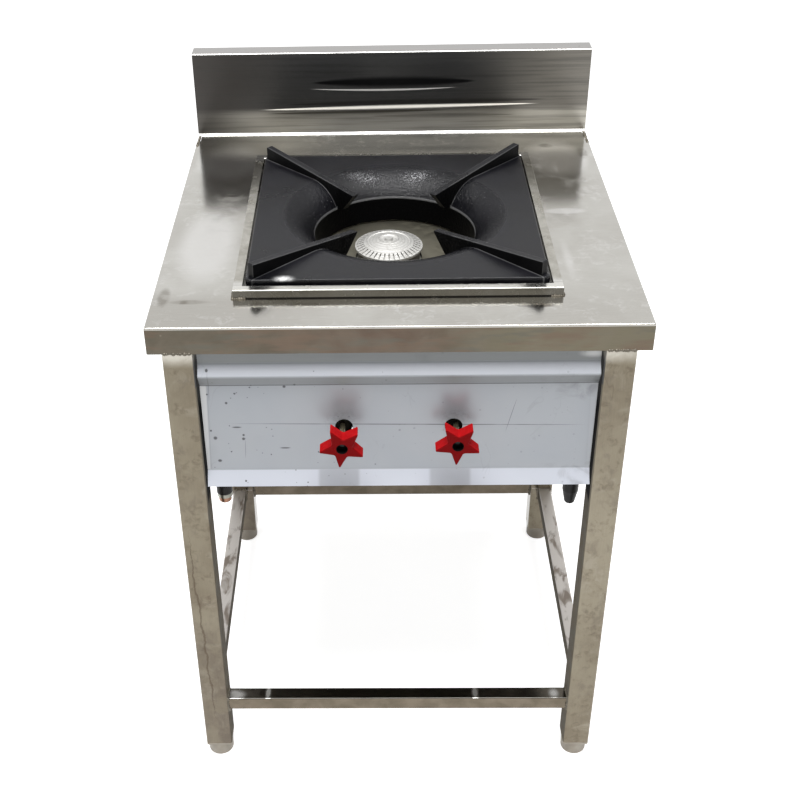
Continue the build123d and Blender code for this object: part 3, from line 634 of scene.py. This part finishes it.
# Rim bars, bright from the saw, with ground welds at the corners
rimFinish = {
    "bar": (0.5, 0.485, 0.44),
    "shade": (0.36, 0.345, 0.3),
    "front": (0.15, 0.14, 0.118),
    "frontTop": (0.7, 0.69, 0.65),
    "footShadow": (0.012, 0.011, 0.01),
    "weld": (0.8, 0.79, 0.77),
    "joint": (0.1, 0.09, 0.07),
    "markSize": 0.03,
    "barWidth": 0.014,
    "topDrop": 0.0012,  # a bar's side starts below its top
    "footShadowSpan": (0.001, 0.0024, 0.95, 0.0),  # above the table
    "cornerSpan": (-0.03, -0.012),  # from the outside inwards
    "jointSpan": (-0.016, -0.013),
    "grain": 0.15,
    "rough": (0.22, 0.36),
}


def rimSteel():
    look = rimFinish
    finish, surface, at, (x, y, z) = newFinish("rimSteel")
    mark = use(smudges, at=at, size=look["markSize"])
    alongBars = use(brushed, at=at, stretch=(0.2, 0.2, 1), fine=900.0)["grain"]
    half = (rimHigh - rimLow) / 2
    outX = minus(absolute(minus(x, grateMid.x)), half.x)
    outY = minus(absolute(minus(y, grateMid.y)), half.y)
    corner = times(*[ramp(out, *look["cornerSpan"]) for out in (outX, outY)])
    # painted shade on the sides of the bars, a painted highlight on the front bar's top, and a painted
    # shadow along the foot of the bars
    side = below(z, rimHigh.z - look["topDrop"], 0.0004)
    frontBar = below(y, rimLow.y + look["barWidth"], 0.0004)
    # butt joint of each side bar against the front and back bars
    joint = times(
        band(outY, -look["barWidth"] - 0.0004, 0.0004 - look["barWidth"], 0.0003),
        ramp(outX, *look["jointSpan"]),
    )
    colour = layered(
        look, tint(mark["broad"], look["bar"], look["shade"]),
        (corner, "weld", 0.8),
        (side, "front", 0.85),
        (times(frontBar, minus(0.8, side, clamp=True)), "frontTop"),
        (ramp(minus(z, tableTop), *look["footShadowSpan"]), "footShadow"),
        (joint, "joint", 0.7),
    )
    coarse = times(noise(at, 220.0, detail=3.0), corner)
    feedAll(surface, {
        "Base Color": overlay(look["grain"], colour, alongBars),
        "Metallic": 1.0,
        "Roughness": blendValue(mark["patch"], *look["rough"]),
        "Normal": bump(coarse, strength=0.35, distance=0.001),
    })
    return finish


# Pan support: black satin coat over a grainy casting
castFinish = {
    "coat": (0.003, 0.003, 0.0042),
    "dust": (0.01, 0.01, 0.0128),
    "wearAndGlint": (0.16, 0.155, 0.15),
    "edgeHighlight": (0.085, 0.085, 0.086),
    "wall": (0.004, 0.004, 0.0045),
    "glint": (0.95, 0.95, 0.95),
    "speckle": (0.15, 0.15, 0.155),
    "cloudSize": 0.06,
    "dishRadius": 0.15,
    "ringRadius": 0.11,
    "ringDrop": 0.014,  # below the table
    "plateRise": 0.017,  # above the table
    "ribHalf": 0.005,
    "ribEdge": (-0.0014, -0.0003, 0.0003),  # bands from a rib's side outwards
    "ribSide": (-0.0002, 0.0002, 0.0001),
    "ribFoot": (0.0003, 0.0018, 0.0004),
    "ringEdge": (-0.0004, 0.001, 0.0003),  # from the ring's bore outwards
    "ringTop": (-0.0012, 0.004, 0.0005),  # from the ring's top upwards
    "fleckSpan": (0.58, 0.7),
    "fleckGain": 0.12,
    "edgeShare": 0.45,
    "footPatch": (0.0, 0.8, 0.35, 0.9),
    "glintPatch": (0.35, 0.62, 0.35, 1.0),
    "glintFall": 1.6,
    "rough": (0.27, 0.36),
    "dishRough": 0.17,
    "wallRough": 0.6,
    "gloss": 0.26,
    "grain": 0.5,
    "lumps": (0.15, 3.0),  # on the plate, in the dish
}
# A painted glint on the front edge of the plate, in metres from its left front corner
plateGlint = spotLook(0.048, 0.003, 0.019, 0.012, core=0.0)
# Painted highlights, broken into bright specks, at the back of the dish, in metres from its middle
dishHighlights = [
    spotLook(-0.046, 0.127, 0.046, 0.018, core=0.1),
    spotLook(0.036, 0.13, 0.042, 0.018, core=0.1),
]


def castBlack():
    look = castFinish
    finish, surface, at, (x, y, z) = newFinish("castBlack")
    lift = minus(z, tableTop)
    overRing = plus(lift, look["ringDrop"])
    overPlate = minus(lift, look["plateRise"])
    offX = minus(x, grateMid.x)
    offY = minus(y, grateMid.y)
    out = radius(offX, offY)
    fromBore = minus(out, look["ringRadius"])
    inDish = below(out, look["dishRadius"], 0.004)
    cloud = use(smudges, at=at, size=look["cloudSize"])
    dots = use(specks, at=at, gap=0.0045, dot=0.17, share=0.35)["speck"]
    grain = noise(at, 900.0, detail=4.0, rough=0.65)
    lumps = noise(at, 240.0, detail=3.0, rough=0.7)
    chips = noise(at, 420.0, detail=3.0, rough=0.7)
    # painted highlights at the back of the dish, broken into bright specks
    wearAndGlint = anySpot(offX, offY, dishHighlights)
    flecks = ramp(plus(chips, times(wearAndGlint, look["fleckGain"])), *look["fleckSpan"])
    wearAndGlint = times(wearAndGlint, flecks, inDish)
    # the edges of the ring and of the ribs, and the feet of the ribs, are painted paler as highlights
    ringEdge = times(band(fromBore, *look["ringEdge"]), band(overRing, *look["ringTop"]))
    slope = math.atan2(grateHigh.y - grateLow.y, grateHigh.x - grateLow.x)
    ribs = {"ribEdge": 0.0, "ribSide": 0.0, "ribFoot": 0.0}
    for turn in (slope, -slope):
        sideways = minus(times(offY, math.cos(turn)), times(offX, math.sin(turn)))
        fromSide = minus(absolute(sideways), look["ribHalf"])
        for key in ribs:
            ribs[key] = larger(band(fromSide, *look[key]), ribs[key])
    proud = larger(above(overPlate, 0.0015, 0.0005), times(inDish, above(overRing, 0.002, 0.001)))
    outside = times(above(fromBore, -0.002, 0.002), above(overRing, 0.0006, 0.0006))
    ribEdge = times(ribs["ribEdge"], proud, outside, look["edgeShare"])
    ribFoot = times(ribs["ribFoot"], outside, ramp(cloud["broad"], *look["footPatch"]))
    edgeHighlight = larger(ringEdge, ribEdge, ribFoot)
    # walls that face sideways are made black as painted shade: the ring's bore and the flanks of the ribs
    bore = times(below(fromBore, 0.0004, 0.0002), below(overRing, -0.0002, 0.0002))
    wall = larger(bore, ribs["ribSide"])
    cornerX = minus(x, grateLow.x)
    cornerY = minus(y, grateLow.y)
    # a painted glint near the plate's front left corner
    bareAndGlint = times(spot(cornerX, cornerY, plateGlint), above(overPlate, -0.0025, 0.0015))
    bareAndGlint = maths("POWER", bareAndGlint, look["glintFall"])
    # in the dish pale specks are painted as sparkle, and the bright specks at its back as highlights
    colour = layered(
        look, "coat",
        (cloud["broad"], "dust", 0.5),
        (times(dots, inDish), "wearAndGlint", 0.35),
        (wearAndGlint, "speckle"),
        (wall, "wall"),
        (edgeHighlight, "edgeHighlight"),
        (times(bareAndGlint, ramp(chips, *look["glintPatch"])), "glint"),
    )
    rough = blendValue(cloud["broad"], *look["rough"])
    rough = blendValue(inDish, rough, look["dishRough"])
    lumpy = times(lumps, blendValue(inDish, *look["lumps"]))
    skin = plus(times(grain, look["grain"]), lumpy)
    feedAll(surface, {
        "Base Color": colour,
        "Metallic": larger(minus(wall, edgeHighlight, clamp=True), wearAndGlint),
        "Roughness": blendValue(wall, rough, look["wallRough"]),
        "Specular IOR Level": look["gloss"],
        "Normal": bump(skin, strength=0.45, distance=0.0012),
    })
    return finish


# Burner cap: turned rings on a bright casting
capFinish = {
    "bright": (0.47, 0.465, 0.448),
    "dull": (0.27, 0.262, 0.243),
    "pit": (0.14, 0.13, 0.115),
    "cloudSize": 0.014,
    "ringGap": 0.0042,
    "ringSpan": (0.4, 1.0, 0.0, 0.4),
    "metal": 0.6,
    "rough": (0.48, 0.62),
}


def capMetal():
    look = capFinish
    capLow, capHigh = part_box("burner_cap")
    finish, surface, at, axes = newFinish("capMetal")
    out = radius(axes[0], axes[1], ((capLow + capHigh) / 2).xy)
    turned = maths("SINE", times(out, math.tau / look["ringGap"]))
    cloud = use(smudges, at=at, size=look["cloudSize"])
    pits = use(specks, at=at, gap=0.0036, dot=0.16, share=0.3)["speck"]
    colour = layered(
        look, "bright",
        (cloud["patch"], "dull", 0.7),
        (ramp(turned, *look["ringSpan"]), "dull"),
        (pits, "pit", 0.6),
    )
    skin = plus(turned, noise(at, 500.0, detail=3.0))
    feedAll(surface, {
        "Base Color": colour,
        "Metallic": look["metal"],
        "Roughness": blendValue(cloud["broad"], *look["rough"]),
        "Normal": bump(skin, strength=0.18, distance=0.0005),
    })
    return finish


# Panels: bluish film outside, bare sheet inside
filmFinish = {
    "film": (0.34, 0.36, 0.39),
    "pale": (0.6, 0.6, 0.6),
    "cloudy": (0.4, 0.41, 0.425),
    "shade": (0.2, 0.21, 0.212),
    "lip": (0.59, 0.615, 0.68),
    "beadCatch": (0.47, 0.49, 0.53),
    "mirrored": (0.3, 0.31, 0.33),
    "haze": (0.2, 0.2, 0.215),
    "grime": (0.06, 0.06, 0.065),
    "bareInside": (0.2, 0.195, 0.185),
    "cloudSize": 0.1,
    "stripWidth": 0.008,
    "stripLean": 0.035,
    "leftSpan": (-0.1, 0.1, 1.0, 0.15),
    "lipHeight": 0.019,
    "beadCrest": 0.167,  # above the lip's edge
    "beadLow": 0.149,
    "beadTop": 0.181,
    "holeRadius": 0.0113,
    "hazeRadius": 0.02712,
    "hazeRise": 0.006,  # above the spindle
    "hazeShare": 0.42,
    "scrapeSpan": (0.42, 0.62, 0.15, 1.0),
    "knobReach": 0.029,
    "mirrorEdge": 0.006,
    "mirrorShift": 0.006,
    "mirrorShare": 0.55,
    "brokenSpan": (0.3, 0.55, 0.4, 1.0),
    "speckSpan": (0.05, -0.12, 0.25, 1.0),
    "grubbySpan": (0.16, 0.235, 0.0, 0.35),
    "metal": (1.0, 0.25),  # bare, under film
    "rough": (0.32, 0.44),
}
# A pale patch above the bead, in metres from the middle and above the lip's edge
panelPalePatch = spotLook(0.237, 0.1915, 0.022, 0.0075, core=0.1)
# The scribed line runs through the holes and a scratch crosses it, in metres from the spindle's height
scribe = strokeLook(0.003, 0.012, 0.236, 0.0008, 0.85, tilt=-0.0125)
panelDents = [
    spotLook(-0.235, 0.0888, 0.0024, 0.0024),
    spotLook(-0.2148, 0.0372, 0.0022, 0.0024),
    spotLook(-0.2323, -0.0163, 0.0032, 0.0034),
    spotLook(-0.229, -0.052, 0.0034, 0.0028),
    spotLook(-0.1961, -0.0119, 0.002, 0.0022),
    spotLook(-0.1965, -0.0178, 0.0026, 0.0028),
    spotLook(-0.1413, 0.0611, 0.0026, 0.0024),
    spotLook(-0.144, -0.0325, 0.0085, 0.0014),
    spotLook(-0.204, 0.0002, 0.0075, 0.0015),
]
scratches = [
    strokeLook(0.1413, 0.0155, 0.027, 0.0005, 0.6, tilt=0.235),
    strokeLook(-0.195, -0.034, 0.016, 0.0007, 0.35, tilt=0.05),
    strokeLook(-0.235, 0.064, 0.026, 0.0008, 0.4, tilt=0.04),
]


def panelFilm():
    look = filmFinish
    finish, surface, at, (x, y, z) = newFinish("panelFilm")
    sideways = absolute(x)
    rise = minus(z, panelLow.z)
    level = minus(z, spindleHeight)
    cloud = use(smudges, at=at, size=look["cloudSize"])
    dots = use(specks, at=at, gap=0.017, dot=0.085, share=0.5)["speck"]
    moved = stretched(at, shift=(1, 3, 2))
    finer = use(specks, at=moved, gap=0.007, dot=0.12, share=0.16)["speck"]
    turned = stretched(at, (1, 1, 0.35), turn=(0, 0.45, 0))
    scuff = use(hairlines, at=turned, scale=22.0, width=0.006, cover=0.38)["line"]
    film = tint(cloud["broad"], look["film"], look["cloudy"], 0.35)
    # painted shade under the bead and on the strip under the fascia, painted light on the bead's upper
    # slope and on the lip
    underBead = band(rise, look["beadLow"] + 0.001, look["beadCrest"] - 0.002, 0.0015)
    underTop = above(rise, look["beadTop"] + 0.0005, 0.0015)
    overBead = band(rise, look["beadCrest"] + 0.001, look["beadTop"] - 0.001, 0.001)
    crease = band(rise, look["beadLow"] - 0.0008, look["beadLow"] + 0.0008, 0.0004)
    onLip = below(rise, look["lipHeight"] - 0.00025, 0.00075)
    # where the film stops short of the edges the sheet is paler
    flat = band(rise, look["lipHeight"] + 0.001, look["beadLow"], 0.001)
    leftMost = times(flat, ramp(x, *look["leftSpan"]))
    lean = times(minus(look["beadLow"], rise), look["stripLean"])
    leaning = minus(sideways, lean)
    edge = panelHigh.x - look["stripWidth"]
    strip = times(above(leaning, edge, 0.0014), leftMost)
    seam = times(band(leaning, edge - 0.0016, edge - 0.0006, 0.0006), leftMost)
    colour = layered(
        look, film,
        (overBead, "beadCatch"),
        (larger(times(underBead, 0.8), underTop), "shade"),
        (onLip, "lip", 0.85),
        (strip, "pale", 0.7),
        (seam, "grime", 0.22),
        (spot(x, rise, panelPalePatch), "pale", 0.8),
        (crease, "grime", 0.75),
    )
    # rubbed grey round the two holes, and each knob dimly mirrored in the lip below it
    scraped = ramp(noise(at, 260.0, detail=4.0, rough=0.7), *look["scrapeSpan"])
    for name in ("main_gland_nut", "pilot_gland_nut"):
        low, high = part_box(name)
        middle = (low.x + high.x) / 2
        away = radius(x, level, (middle, look["hazeRise"]))
        haze = fade(away, look["holeRadius"], look["hazeRadius"], look["hazeShare"])
        aside = absolute(minus(x, middle - look["mirrorShift"]))
        reach = look["knobReach"]
        dim = fade(aside, reach - look["mirrorEdge"], reach, look["mirrorShare"])
        colour = layered(
            look, colour,
            (times(haze, scraped), "haze"),
            (times(onLip, dim), "mirrored"),
        )
    # lines, dents and specks, more of them to the left
    broken = ramp(noise(stretched(at, (1, 0, 0)), 18.0), *look["brokenSpan"])
    marks = [(times(stroke(x, level, scribe), broken), "grime")]
    marks += [(stroke(level, x, line), "grime") for line in scratches]
    marks += [(spot(x, level, dent), "grime", 0.92) for dent in panelDents]
    specked = larger(times(dots, 0.85), times(finer, 0.6))
    specked = times(specked, ramp(x, *look["speckSpan"]))
    grubby = times(ramp(x, *look["grubbySpan"]), cloud["patch"])
    marks.append((larger(specked, times(scuff, 0.1), grubby), "grime"))
    colour = layered(look, colour, *marks)
    # film only on the faces that look outwards
    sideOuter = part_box("side_panel_right")[1].x
    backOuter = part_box("back_panel")[1].y
    onSide = above(sideways, sideOuter - 0.0005, 0.0001)
    outward = larger(onSide, above(y, backOuter - 0.0005, 0.0001))
    onFront = below(y, panelHigh.y + 0.0015, 0.0005)
    plain = tint(finer, film, look["grime"], 0.4)
    feedAll(surface, {
        "Base Color": tint(onFront, tint(outward, look["bareInside"], plain), colour),
        "Metallic": blendValue(larger(outward, onFront), *look["metal"]),
        "Roughness": blendValue(cloud["patch"], *look["rough"]),
        "Normal": bump(plus(cloud["broad"], dots), strength=0.05, distance=0.001),
    })
    return finish


# Simple finishes: two tones, marks of one size and a noisy skin
simpleCommon = {
    "by": ("broad", "patch"),  # what parts the tones, and the roughness
    "share": 1.0,
    "grain": 0.12,
    "metal": 1.0,
    "gloss": 0.5,
    "skin": (700.0, 3.0, 0.6),  # scale, detail and roughness of the noise
    "bump": (0.05, 0.0006),
}
simpleLooks = {
    "trayOlive": {
        "tones": ((0.245, 0.232, 0.185), (0.172, 0.162, 0.126)), "rough": (0.48, 0.6), "size": 0.05,
    },
    "platedSteel": {
        "tones": ((0.34, 0.34, 0.3), (0.2, 0.2, 0.175)), "rough": (0.28, 0.42), "size": 0.02,
    },
    "tubeCopper": {
        "tones": ((0.34, 0.19, 0.125), (0.2, 0.11, 0.075)), "rough": (0.28, 0.45), "size": 0.02,
    },
    "valveShadowBlack": {
        "tones": ((0.008, 0.007, 0.005), (0.004, 0.004, 0.003)), "rough": (0.6, 0.8), "size": 0.012,
    },
    "valveBrass": {
        "tones": ((0.62, 0.49, 0.24), (0.4, 0.3, 0.14)), "rough": (0.26, 0.42), "size": 0.012,
    },
    "burnerIron": {
        "tones": ((0.13, 0.125, 0.12), (0.13, 0.075, 0.045)), "rough": (0.5, 0.7), "size": 0.03,
        "by": ("patch", "broad"), "share": 0.6, "grain": 0.0, "metal": 0.4,
        "skin": (600.0, 4.0, 0.65), "bump": (0.3, 0.001),
    },
    "weldMetal": {
        "tones": ((0.15, 0.135, 0.11), (0.05, 0.042, 0.034)), "rough": (0.45, 0.62), "size": 0.008,
        "by": ("patch", "broad"), "share": 0.8, "grain": 0.0,
        "skin": (1500.0, 2.0, 0.5), "bump": (0.2, 0.0004),
    },
    "pipeBlack": {
        "tones": ((0.006, 0.006, 0.006), (0.014, 0.013, 0.013)), "rough": (0.42, 0.6), "size": 0.02,
        "grain": 0.0, "metal": 0.0, "gloss": 0.18, "skin": (700.0, 3.0, 0.5), "bump": (0.2, 0.0008),
    },
    "footNylon": {
        "tones": ((0.385, 0.345, 0.285), (0.32, 0.28, 0.225)), "rough": (0.45, 0.6), "size": 0.02,
        "grain": 0.0, "metal": 0.0, "skin": (700.0, 3.0, 0.5), "bump": (0.1, 0.0008),
    },
}


def simpleFinish(name):
    look = {**simpleCommon, **simpleLooks[name]}
    finish, surface, at, _ = newFinish(name)
    cloud = use(smudges, at=at, size=look["size"])
    toneMask, roughMask = (cloud[key] for key in look["by"])
    skin = noise(at, *look["skin"])
    colour = tint(toneMask, *look["tones"], look["share"])
    feedAll(surface, {
        "Base Color": overlay(look["grain"], colour, skin),
        "Metallic": look["metal"],
        "Roughness": blendValue(roughMask, *look["rough"]),
        "Specular IOR Level": look["gloss"],
        "Normal": bump(skin, *look["bump"]),
    })
    return finish


# Star knobs: red, with painted shade on the front face and a pocket round the spindle end painted black as
# shade
knobFinish = {
    "red": (0.4, 0.005, 0.007),
    "deep": (0.3, 0.003, 0.005),
    "frontShade": (0.205, 0.002, 0.003),
    "pocketShade": (0.006, 0.005, 0.005),
    "pocketRadius": 0.0073,
    "faceDeep": 0.0013,
    "cloudSize": 0.012,
    "rough": (0.55, 0.68),
    "gloss": 0.06,
}


def knobRed(name, spindle):
    look = knobFinish
    low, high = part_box(spindle)
    mid = (low + high) / 2
    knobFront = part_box(spindle.replace("spindle", "knob"))[0].y
    finish, surface, at, axes = newFinish(name)
    out = radius(axes[0], axes[2], (mid.x, mid.z))
    cloud = use(smudges, at=at, size=look["cloudSize"])
    # painted shade: the front face darker, the pocket black
    colour = layered(
        look, "red",
        (cloud["broad"], "deep", 0.6),
        (below(axes[1], knobFront + look["faceDeep"], 0.0003), "frontShade"),
        (below(out, look["pocketRadius"], 0.0003), "pocketShade"),
    )
    feedAll(surface, {
        "Base Color": colour,
        "Roughness": blendValue(cloud["patch"], *look["rough"]),
        "Specular IOR Level": look["gloss"],
        "Normal": bump(noise(at, 900.0, detail=3.0), strength=0.06, distance=0.0006),
    })
    return finish


# Spindles, brassy outside and painted black as shade where they end in the knob
spindleFinish = {
    "bareAndGlint": (0.5, 0.44, 0.3),
    "wearAndGlint": (0.34, 0.29, 0.19),
    "end": (0.005, 0.005, 0.005),
    "endLength": 0.0125,
    "cloudSize": 0.008,
    "rough": (0.34, 0.5),
}


def spindleMetal(name, knob):
    look = spindleFinish
    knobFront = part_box(knob)[0].y
    finish, surface, at, axes = newFinish(name)
    cloud = use(smudges, at=at, size=look["cloudSize"])
    # painted shade: black where the spindle ends in the knob
    inKnob = below(axes[1], knobFront + look["endLength"], 0.0005)
    feedAll(surface, {
        "Base Color": layered(look, "bareAndGlint", (cloud["broad"], "wearAndGlint"), (inKnob, "end")),
        "Metallic": minus(1.0, inKnob),
        "Roughness": blendValue(cloud["patch"], *look["rough"]),
        "Normal": bump(noise(at, 1100.0), strength=0.06, distance=0.0005),
    })
    return finish


finishes = {
    "top_steel": topSteel(),
    "leg_steel": legSteel(),
    "rim_steel": rimSteel(),
    "cast_black": castBlack(),
    "burner_iron": simpleFinish("burnerIron"),
    "cap_metal": capMetal(),
    "panel_film": panelFilm(),
    "tray_steel": simpleFinish("trayOlive"),
    "plated_steel": simpleFinish("platedSteel"),
    "tube_copper": simpleFinish("tubeCopper"),
    "valve_brass": simpleFinish("valveBrass"),
    "pipe_black": simpleFinish("pipeBlack"),
    "foot_nylon": simpleFinish("footNylon"),
}
ownFinishes = {
    "main_knob": knobRed("mainKnobRed", "main_spindle"),
    "pilot_knob": knobRed("pilotKnobRed", "pilot_spindle"),
    "main_spindle": spindleMetal("mainSpindle", "main_knob"),
    "pilot_spindle": spindleMetal("pilotSpindle", "pilot_knob"),
}
valveShadowBlack = simpleFinish("valveShadowBlack")  # painted black as shade behind the panel
for name in ("main_gland_nut", "pilot_gland_nut", "main_valve", "pilot_valve"):
    ownFinishes[name] = valveShadowBlack
for name, piece in parts.items():
    slotName = piece.data.materials[0].name
    piece.material_slots[0].material = ownFinishes.get(name) or finishes[slotName]
print("finishes given to", len(parts), "nodes")


# Weld beads: overlapping drops along the joints of the frame
weldLook = {
    "gap": 0.0026,  # inputs of the node tree
    "size": 0.0022,
    "uneven": 0.35,
    "seed": 7,
    "legInset": 0.004,
    "rimRun": 0.014,
    "sheetInset": 0.003,
    "splashRun": (0.046, 0.006),  # in front of the splash back
    "tableDrop": 0.001,
}


def weldTree():
    tree = bpy.data.node_groups.new("weldBeads", "GeometryNodeTree")
    work["tree"] = tree
    inputs = {
        "Geometry": "Geometry", "gap": "Float", "size": "Float", "uneven": "Float", "seed": "Int",
        "finish": "Material",
    }
    for label, kind in inputs.items():
        tree.interface.new_socket(label, in_out="INPUT", socket_type="NodeSocket" + kind)
    tree.interface.new_socket("Geometry", in_out="OUTPUT", socket_type="NodeSocketGeometry")
    given = tree.nodes.new("NodeGroupInput").outputs
    lines = put("GeometryNodeMeshToCurve", {"Mesh": given["Geometry"]}).outputs[0]
    row = put("GeometryNodeCurveToPoints", {"Curve": lines, "Length": given["gap"]}, mode="LENGTH")
    drop = put("GeometryNodeMeshIcoSphere", {"Radius": given["size"], "Subdivisions": 2}).outputs[0]
    least = minus(1.0, given["uneven"])
    most = plus(1.0, given["uneven"])
    limits = {"Min": least, "Max": most, "Seed": given["seed"]}
    vary = put("FunctionNodeRandomValue", limits, data_type="FLOAT")
    sized = next(out for out in vary.outputs if out.enabled)
    points, turns = row.outputs["Points"], row.outputs["Rotation"]
    feeds = {"Points": points, "Instance": drop, "Rotation": turns, "Scale": sized}
    beads = put("GeometryNodeInstanceOnPoints", feeds).outputs[0]
    solid = put("GeometryNodeRealizeInstances", {"Geometry": beads}).outputs[0]
    smooth = put("GeometryNodeSetShadeSmooth", {"Geometry": solid}).outputs[0]
    coat = {"Geometry": smooth, "Material": given["finish"]}
    painted = put("GeometryNodeSetMaterial", coat).outputs[0]
    feed(tree.nodes.new("NodeGroupOutput").inputs["Geometry"], painted)
    return tree


def around(low, high, axis):
    # closed loop round the end of a brace
    near, far = low[axis], high[axis]
    return ((near, low.z), (far, low.z), (far, high.z), (near, high.z), (near, low.z))


def weldPaths(look):
    # round the brace ends, under the fascia, at the rim's corners and beside the splash back
    paths = []
    inset = look["legInset"]
    for side in ("left", "right"):
        low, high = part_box("leg_front_" + side)
        paths.append([(low.x + inset, low.y, sheetLow.z), (high.x - inset, low.y, sheetLow.z)])
        low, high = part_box("brace_" + side)
        paths += [[(x, end, z) for x, z in around(low, high, 0)] for end in (low.y, high.y)]
    for side in ("front", "back"):
        low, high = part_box("brace_" + side)
        paths += [[(end, y, z) for y, z in around(low, high, 1)] for end in (low.x, high.x)]
    run = look["rimRun"]
    for x, inward in ((rimLow.x, run), (rimHigh.x, -run)):
        for y, ahead in ((rimLow.y, run), (rimHigh.y, -run)):
            paths.append([(x + inward, y, tableTop), (x, y, tableTop), (x, y + ahead, tableTop)])
    for x in (sheetLow.x + look["sheetInset"], sheetHigh.x - look["sheetInset"]):
        paths.append([(x, splashFront - back, tableTop - look["tableDrop"]) for back in look["splashRun"]])
    return paths


def addWelds(look):
    corners, edges = [], []
    for path in weldPaths(look):
        start = len(corners)
        corners += path
        edges += [(index, index + 1) for index in range(start, len(corners) - 1)]
    lines = bpy.data.meshes.new("weldLines")
    lines.from_pydata(corners, edges, [])
    guide = addObject("weldLines", lines)
    tree = weldTree()
    rule = guide.modifiers.new("weldBeads", "NODES")
    rule.node_group = tree
    values = {**look, "finish": simpleFinish("weldMetal")}
    for item in tree.interface.items_tree:
        if item.in_out == "INPUT" and item.name in values:
            rule[item.identifier] = values[item.name]
    made = guide.evaluated_get(bpy.context.evaluated_depsgraph_get())
    mesh = bpy.data.meshes.new_from_object(made)
    bpy.data.objects.remove(guide)
    mesh.name = "weldBeads"
    beads = addObject("weldBeads", mesh)
    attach(beads, "frame")
    print("weld beads:", len(mesh.polygons), "faces")


addWelds(weldLook)


# Floor, light and camera
def seenDirectly(shown, hidden):
    rays = put("ShaderNodeLightPath").outputs
    kinds = ("Is Camera Ray", "Is Glossy Ray", "Is Transmission Ray")
    direct = larger(*[rays[kind] for kind in kinds])
    return blendValue(direct, hidden, shown)


floorLook = {"reach": 30.0, "colour": (0.9, 0.9, 0.9), "white": (1.0, 1.0, 1.0), "glow": 0.77}


def addFloor(look):
    mesh = bpy.data.meshes.new("studioFloor")
    r = look["reach"]
    mesh.from_pydata([(-r, -r, 0), (r, -r, 0), (r, r, 0), (-r, r, 0)], [], [(0, 1, 2, 3)])
    floor = addObject("studioFloor", mesh)
    finish = bpy.data.materials.new("studioFloor")
    openTree(finish)
    matt = put("ShaderNodeBsdfDiffuse", {"Color": look["colour"]})
    strength = seenDirectly(look["glow"], 0.0)
    glow = put("ShaderNodeEmission", {"Color": look["white"], "Strength": strength})
    both = put("ShaderNodeAddShader", {0: matt.outputs[0], 1: glow.outputs[0]})
    put("ShaderNodeOutputMaterial", {"Surface": both.outputs[0]})
    mesh.materials.append(finish)


skyLook = {"white": (1.0, 1.0, 1.0), "shown": 1.0, "soft": 0.28}


def addSky(look):
    world = bpy.data.worlds.new("studio")
    openTree(world)
    strength = seenDirectly(look["shown"], look["soft"])
    sky = put("ShaderNodeBackground", {"Color": look["white"], "Strength": strength})
    put("ShaderNodeOutputWorld", {"Surface": sky.outputs[0]})
    bpy.context.scene.world = world


lampLook = {
    "overhead": {"place": (-0.1, -0.75, 2.9), "aim": (0.0, -0.1, 0.6), "size": (1.8, 1.0), "power": 76.0},
    "frontLeft": {"place": (-1.9, -2.4, 2.2), "aim": (0.0, -0.2, 0.5), "size": (1.4, 1.4), "power": 5.5},
    "frontRight": {"place": (2.1, -2.0, 1.9), "aim": (0.0, -0.2, 0.5), "size": (1.2, 1.4), "power": 4.0},
    "dishLeft": {"place": (-0.8, 0.3, 2.8), "aim": (0.0, 0.1, 0.75), "size": (0.4, 0.4), "power": 8.0},
    "dishRight": {"place": (0.75, 0.3, 2.8), "aim": (0.0, 0.1, 0.75), "size": (0.4, 0.4), "power": 8.0},
}


def addLamp(name, look):
    lamp = bpy.data.lights.new(name, "AREA")
    lamp.shape = "RECTANGLE"
    lamp.size, lamp.size_y = look["size"]
    lamp.energy = look["power"]
    thing = addObject(name, lamp)
    turn = (Vector(look["aim"]) - Vector(look["place"])).to_track_quat("-Z", "Y")
    thing.matrix_world = Matrix.Translation(look["place"]) @ turn.to_matrix().to_4x4()


cameraLook = {
    "place": (-0.02908, -1.59886, 1.52139),
    "yaw": -1.62,  # degrees
    "pitch": -33.825,
    "roll": -1.359,
    "lens": 57.14,  # mm
    "sensor": 36.0,
    "shiftX": 0.06875,
}


def addCamera(look):
    yaw, pitch, roll = (math.radians(look[key]) for key in ("yaw", "pitch", "roll"))
    ahead = Vector((math.sin(yaw) * math.cos(pitch), math.cos(yaw) * math.cos(pitch), math.sin(pitch)))
    level = Vector((math.cos(yaw), -math.sin(yaw), 0.0))
    upright = level.cross(ahead)
    side = math.cos(roll) * level + math.sin(roll) * upright
    up = math.cos(roll) * upright - math.sin(roll) * level
    lens = bpy.data.cameras.new("photoCamera")
    lens.lens = look["lens"]
    lens.sensor_width = look["sensor"]
    lens.shift_x = look["shiftX"]
    camera = addObject("photoCamera", lens)
    turn = Matrix((side, up, -ahead)).transposed()
    camera.matrix_world = Matrix.Translation(look["place"]) @ turn.to_4x4()
    bpy.context.scene.camera = camera


addFloor(floorLook)
addSky(skyLook)
for name, look in lampLook.items():
    addLamp(name, look)
addCamera(cameraLook)
bpy.context.scene.view_settings.view_transform = "Standard"
print("floor, light and camera set")
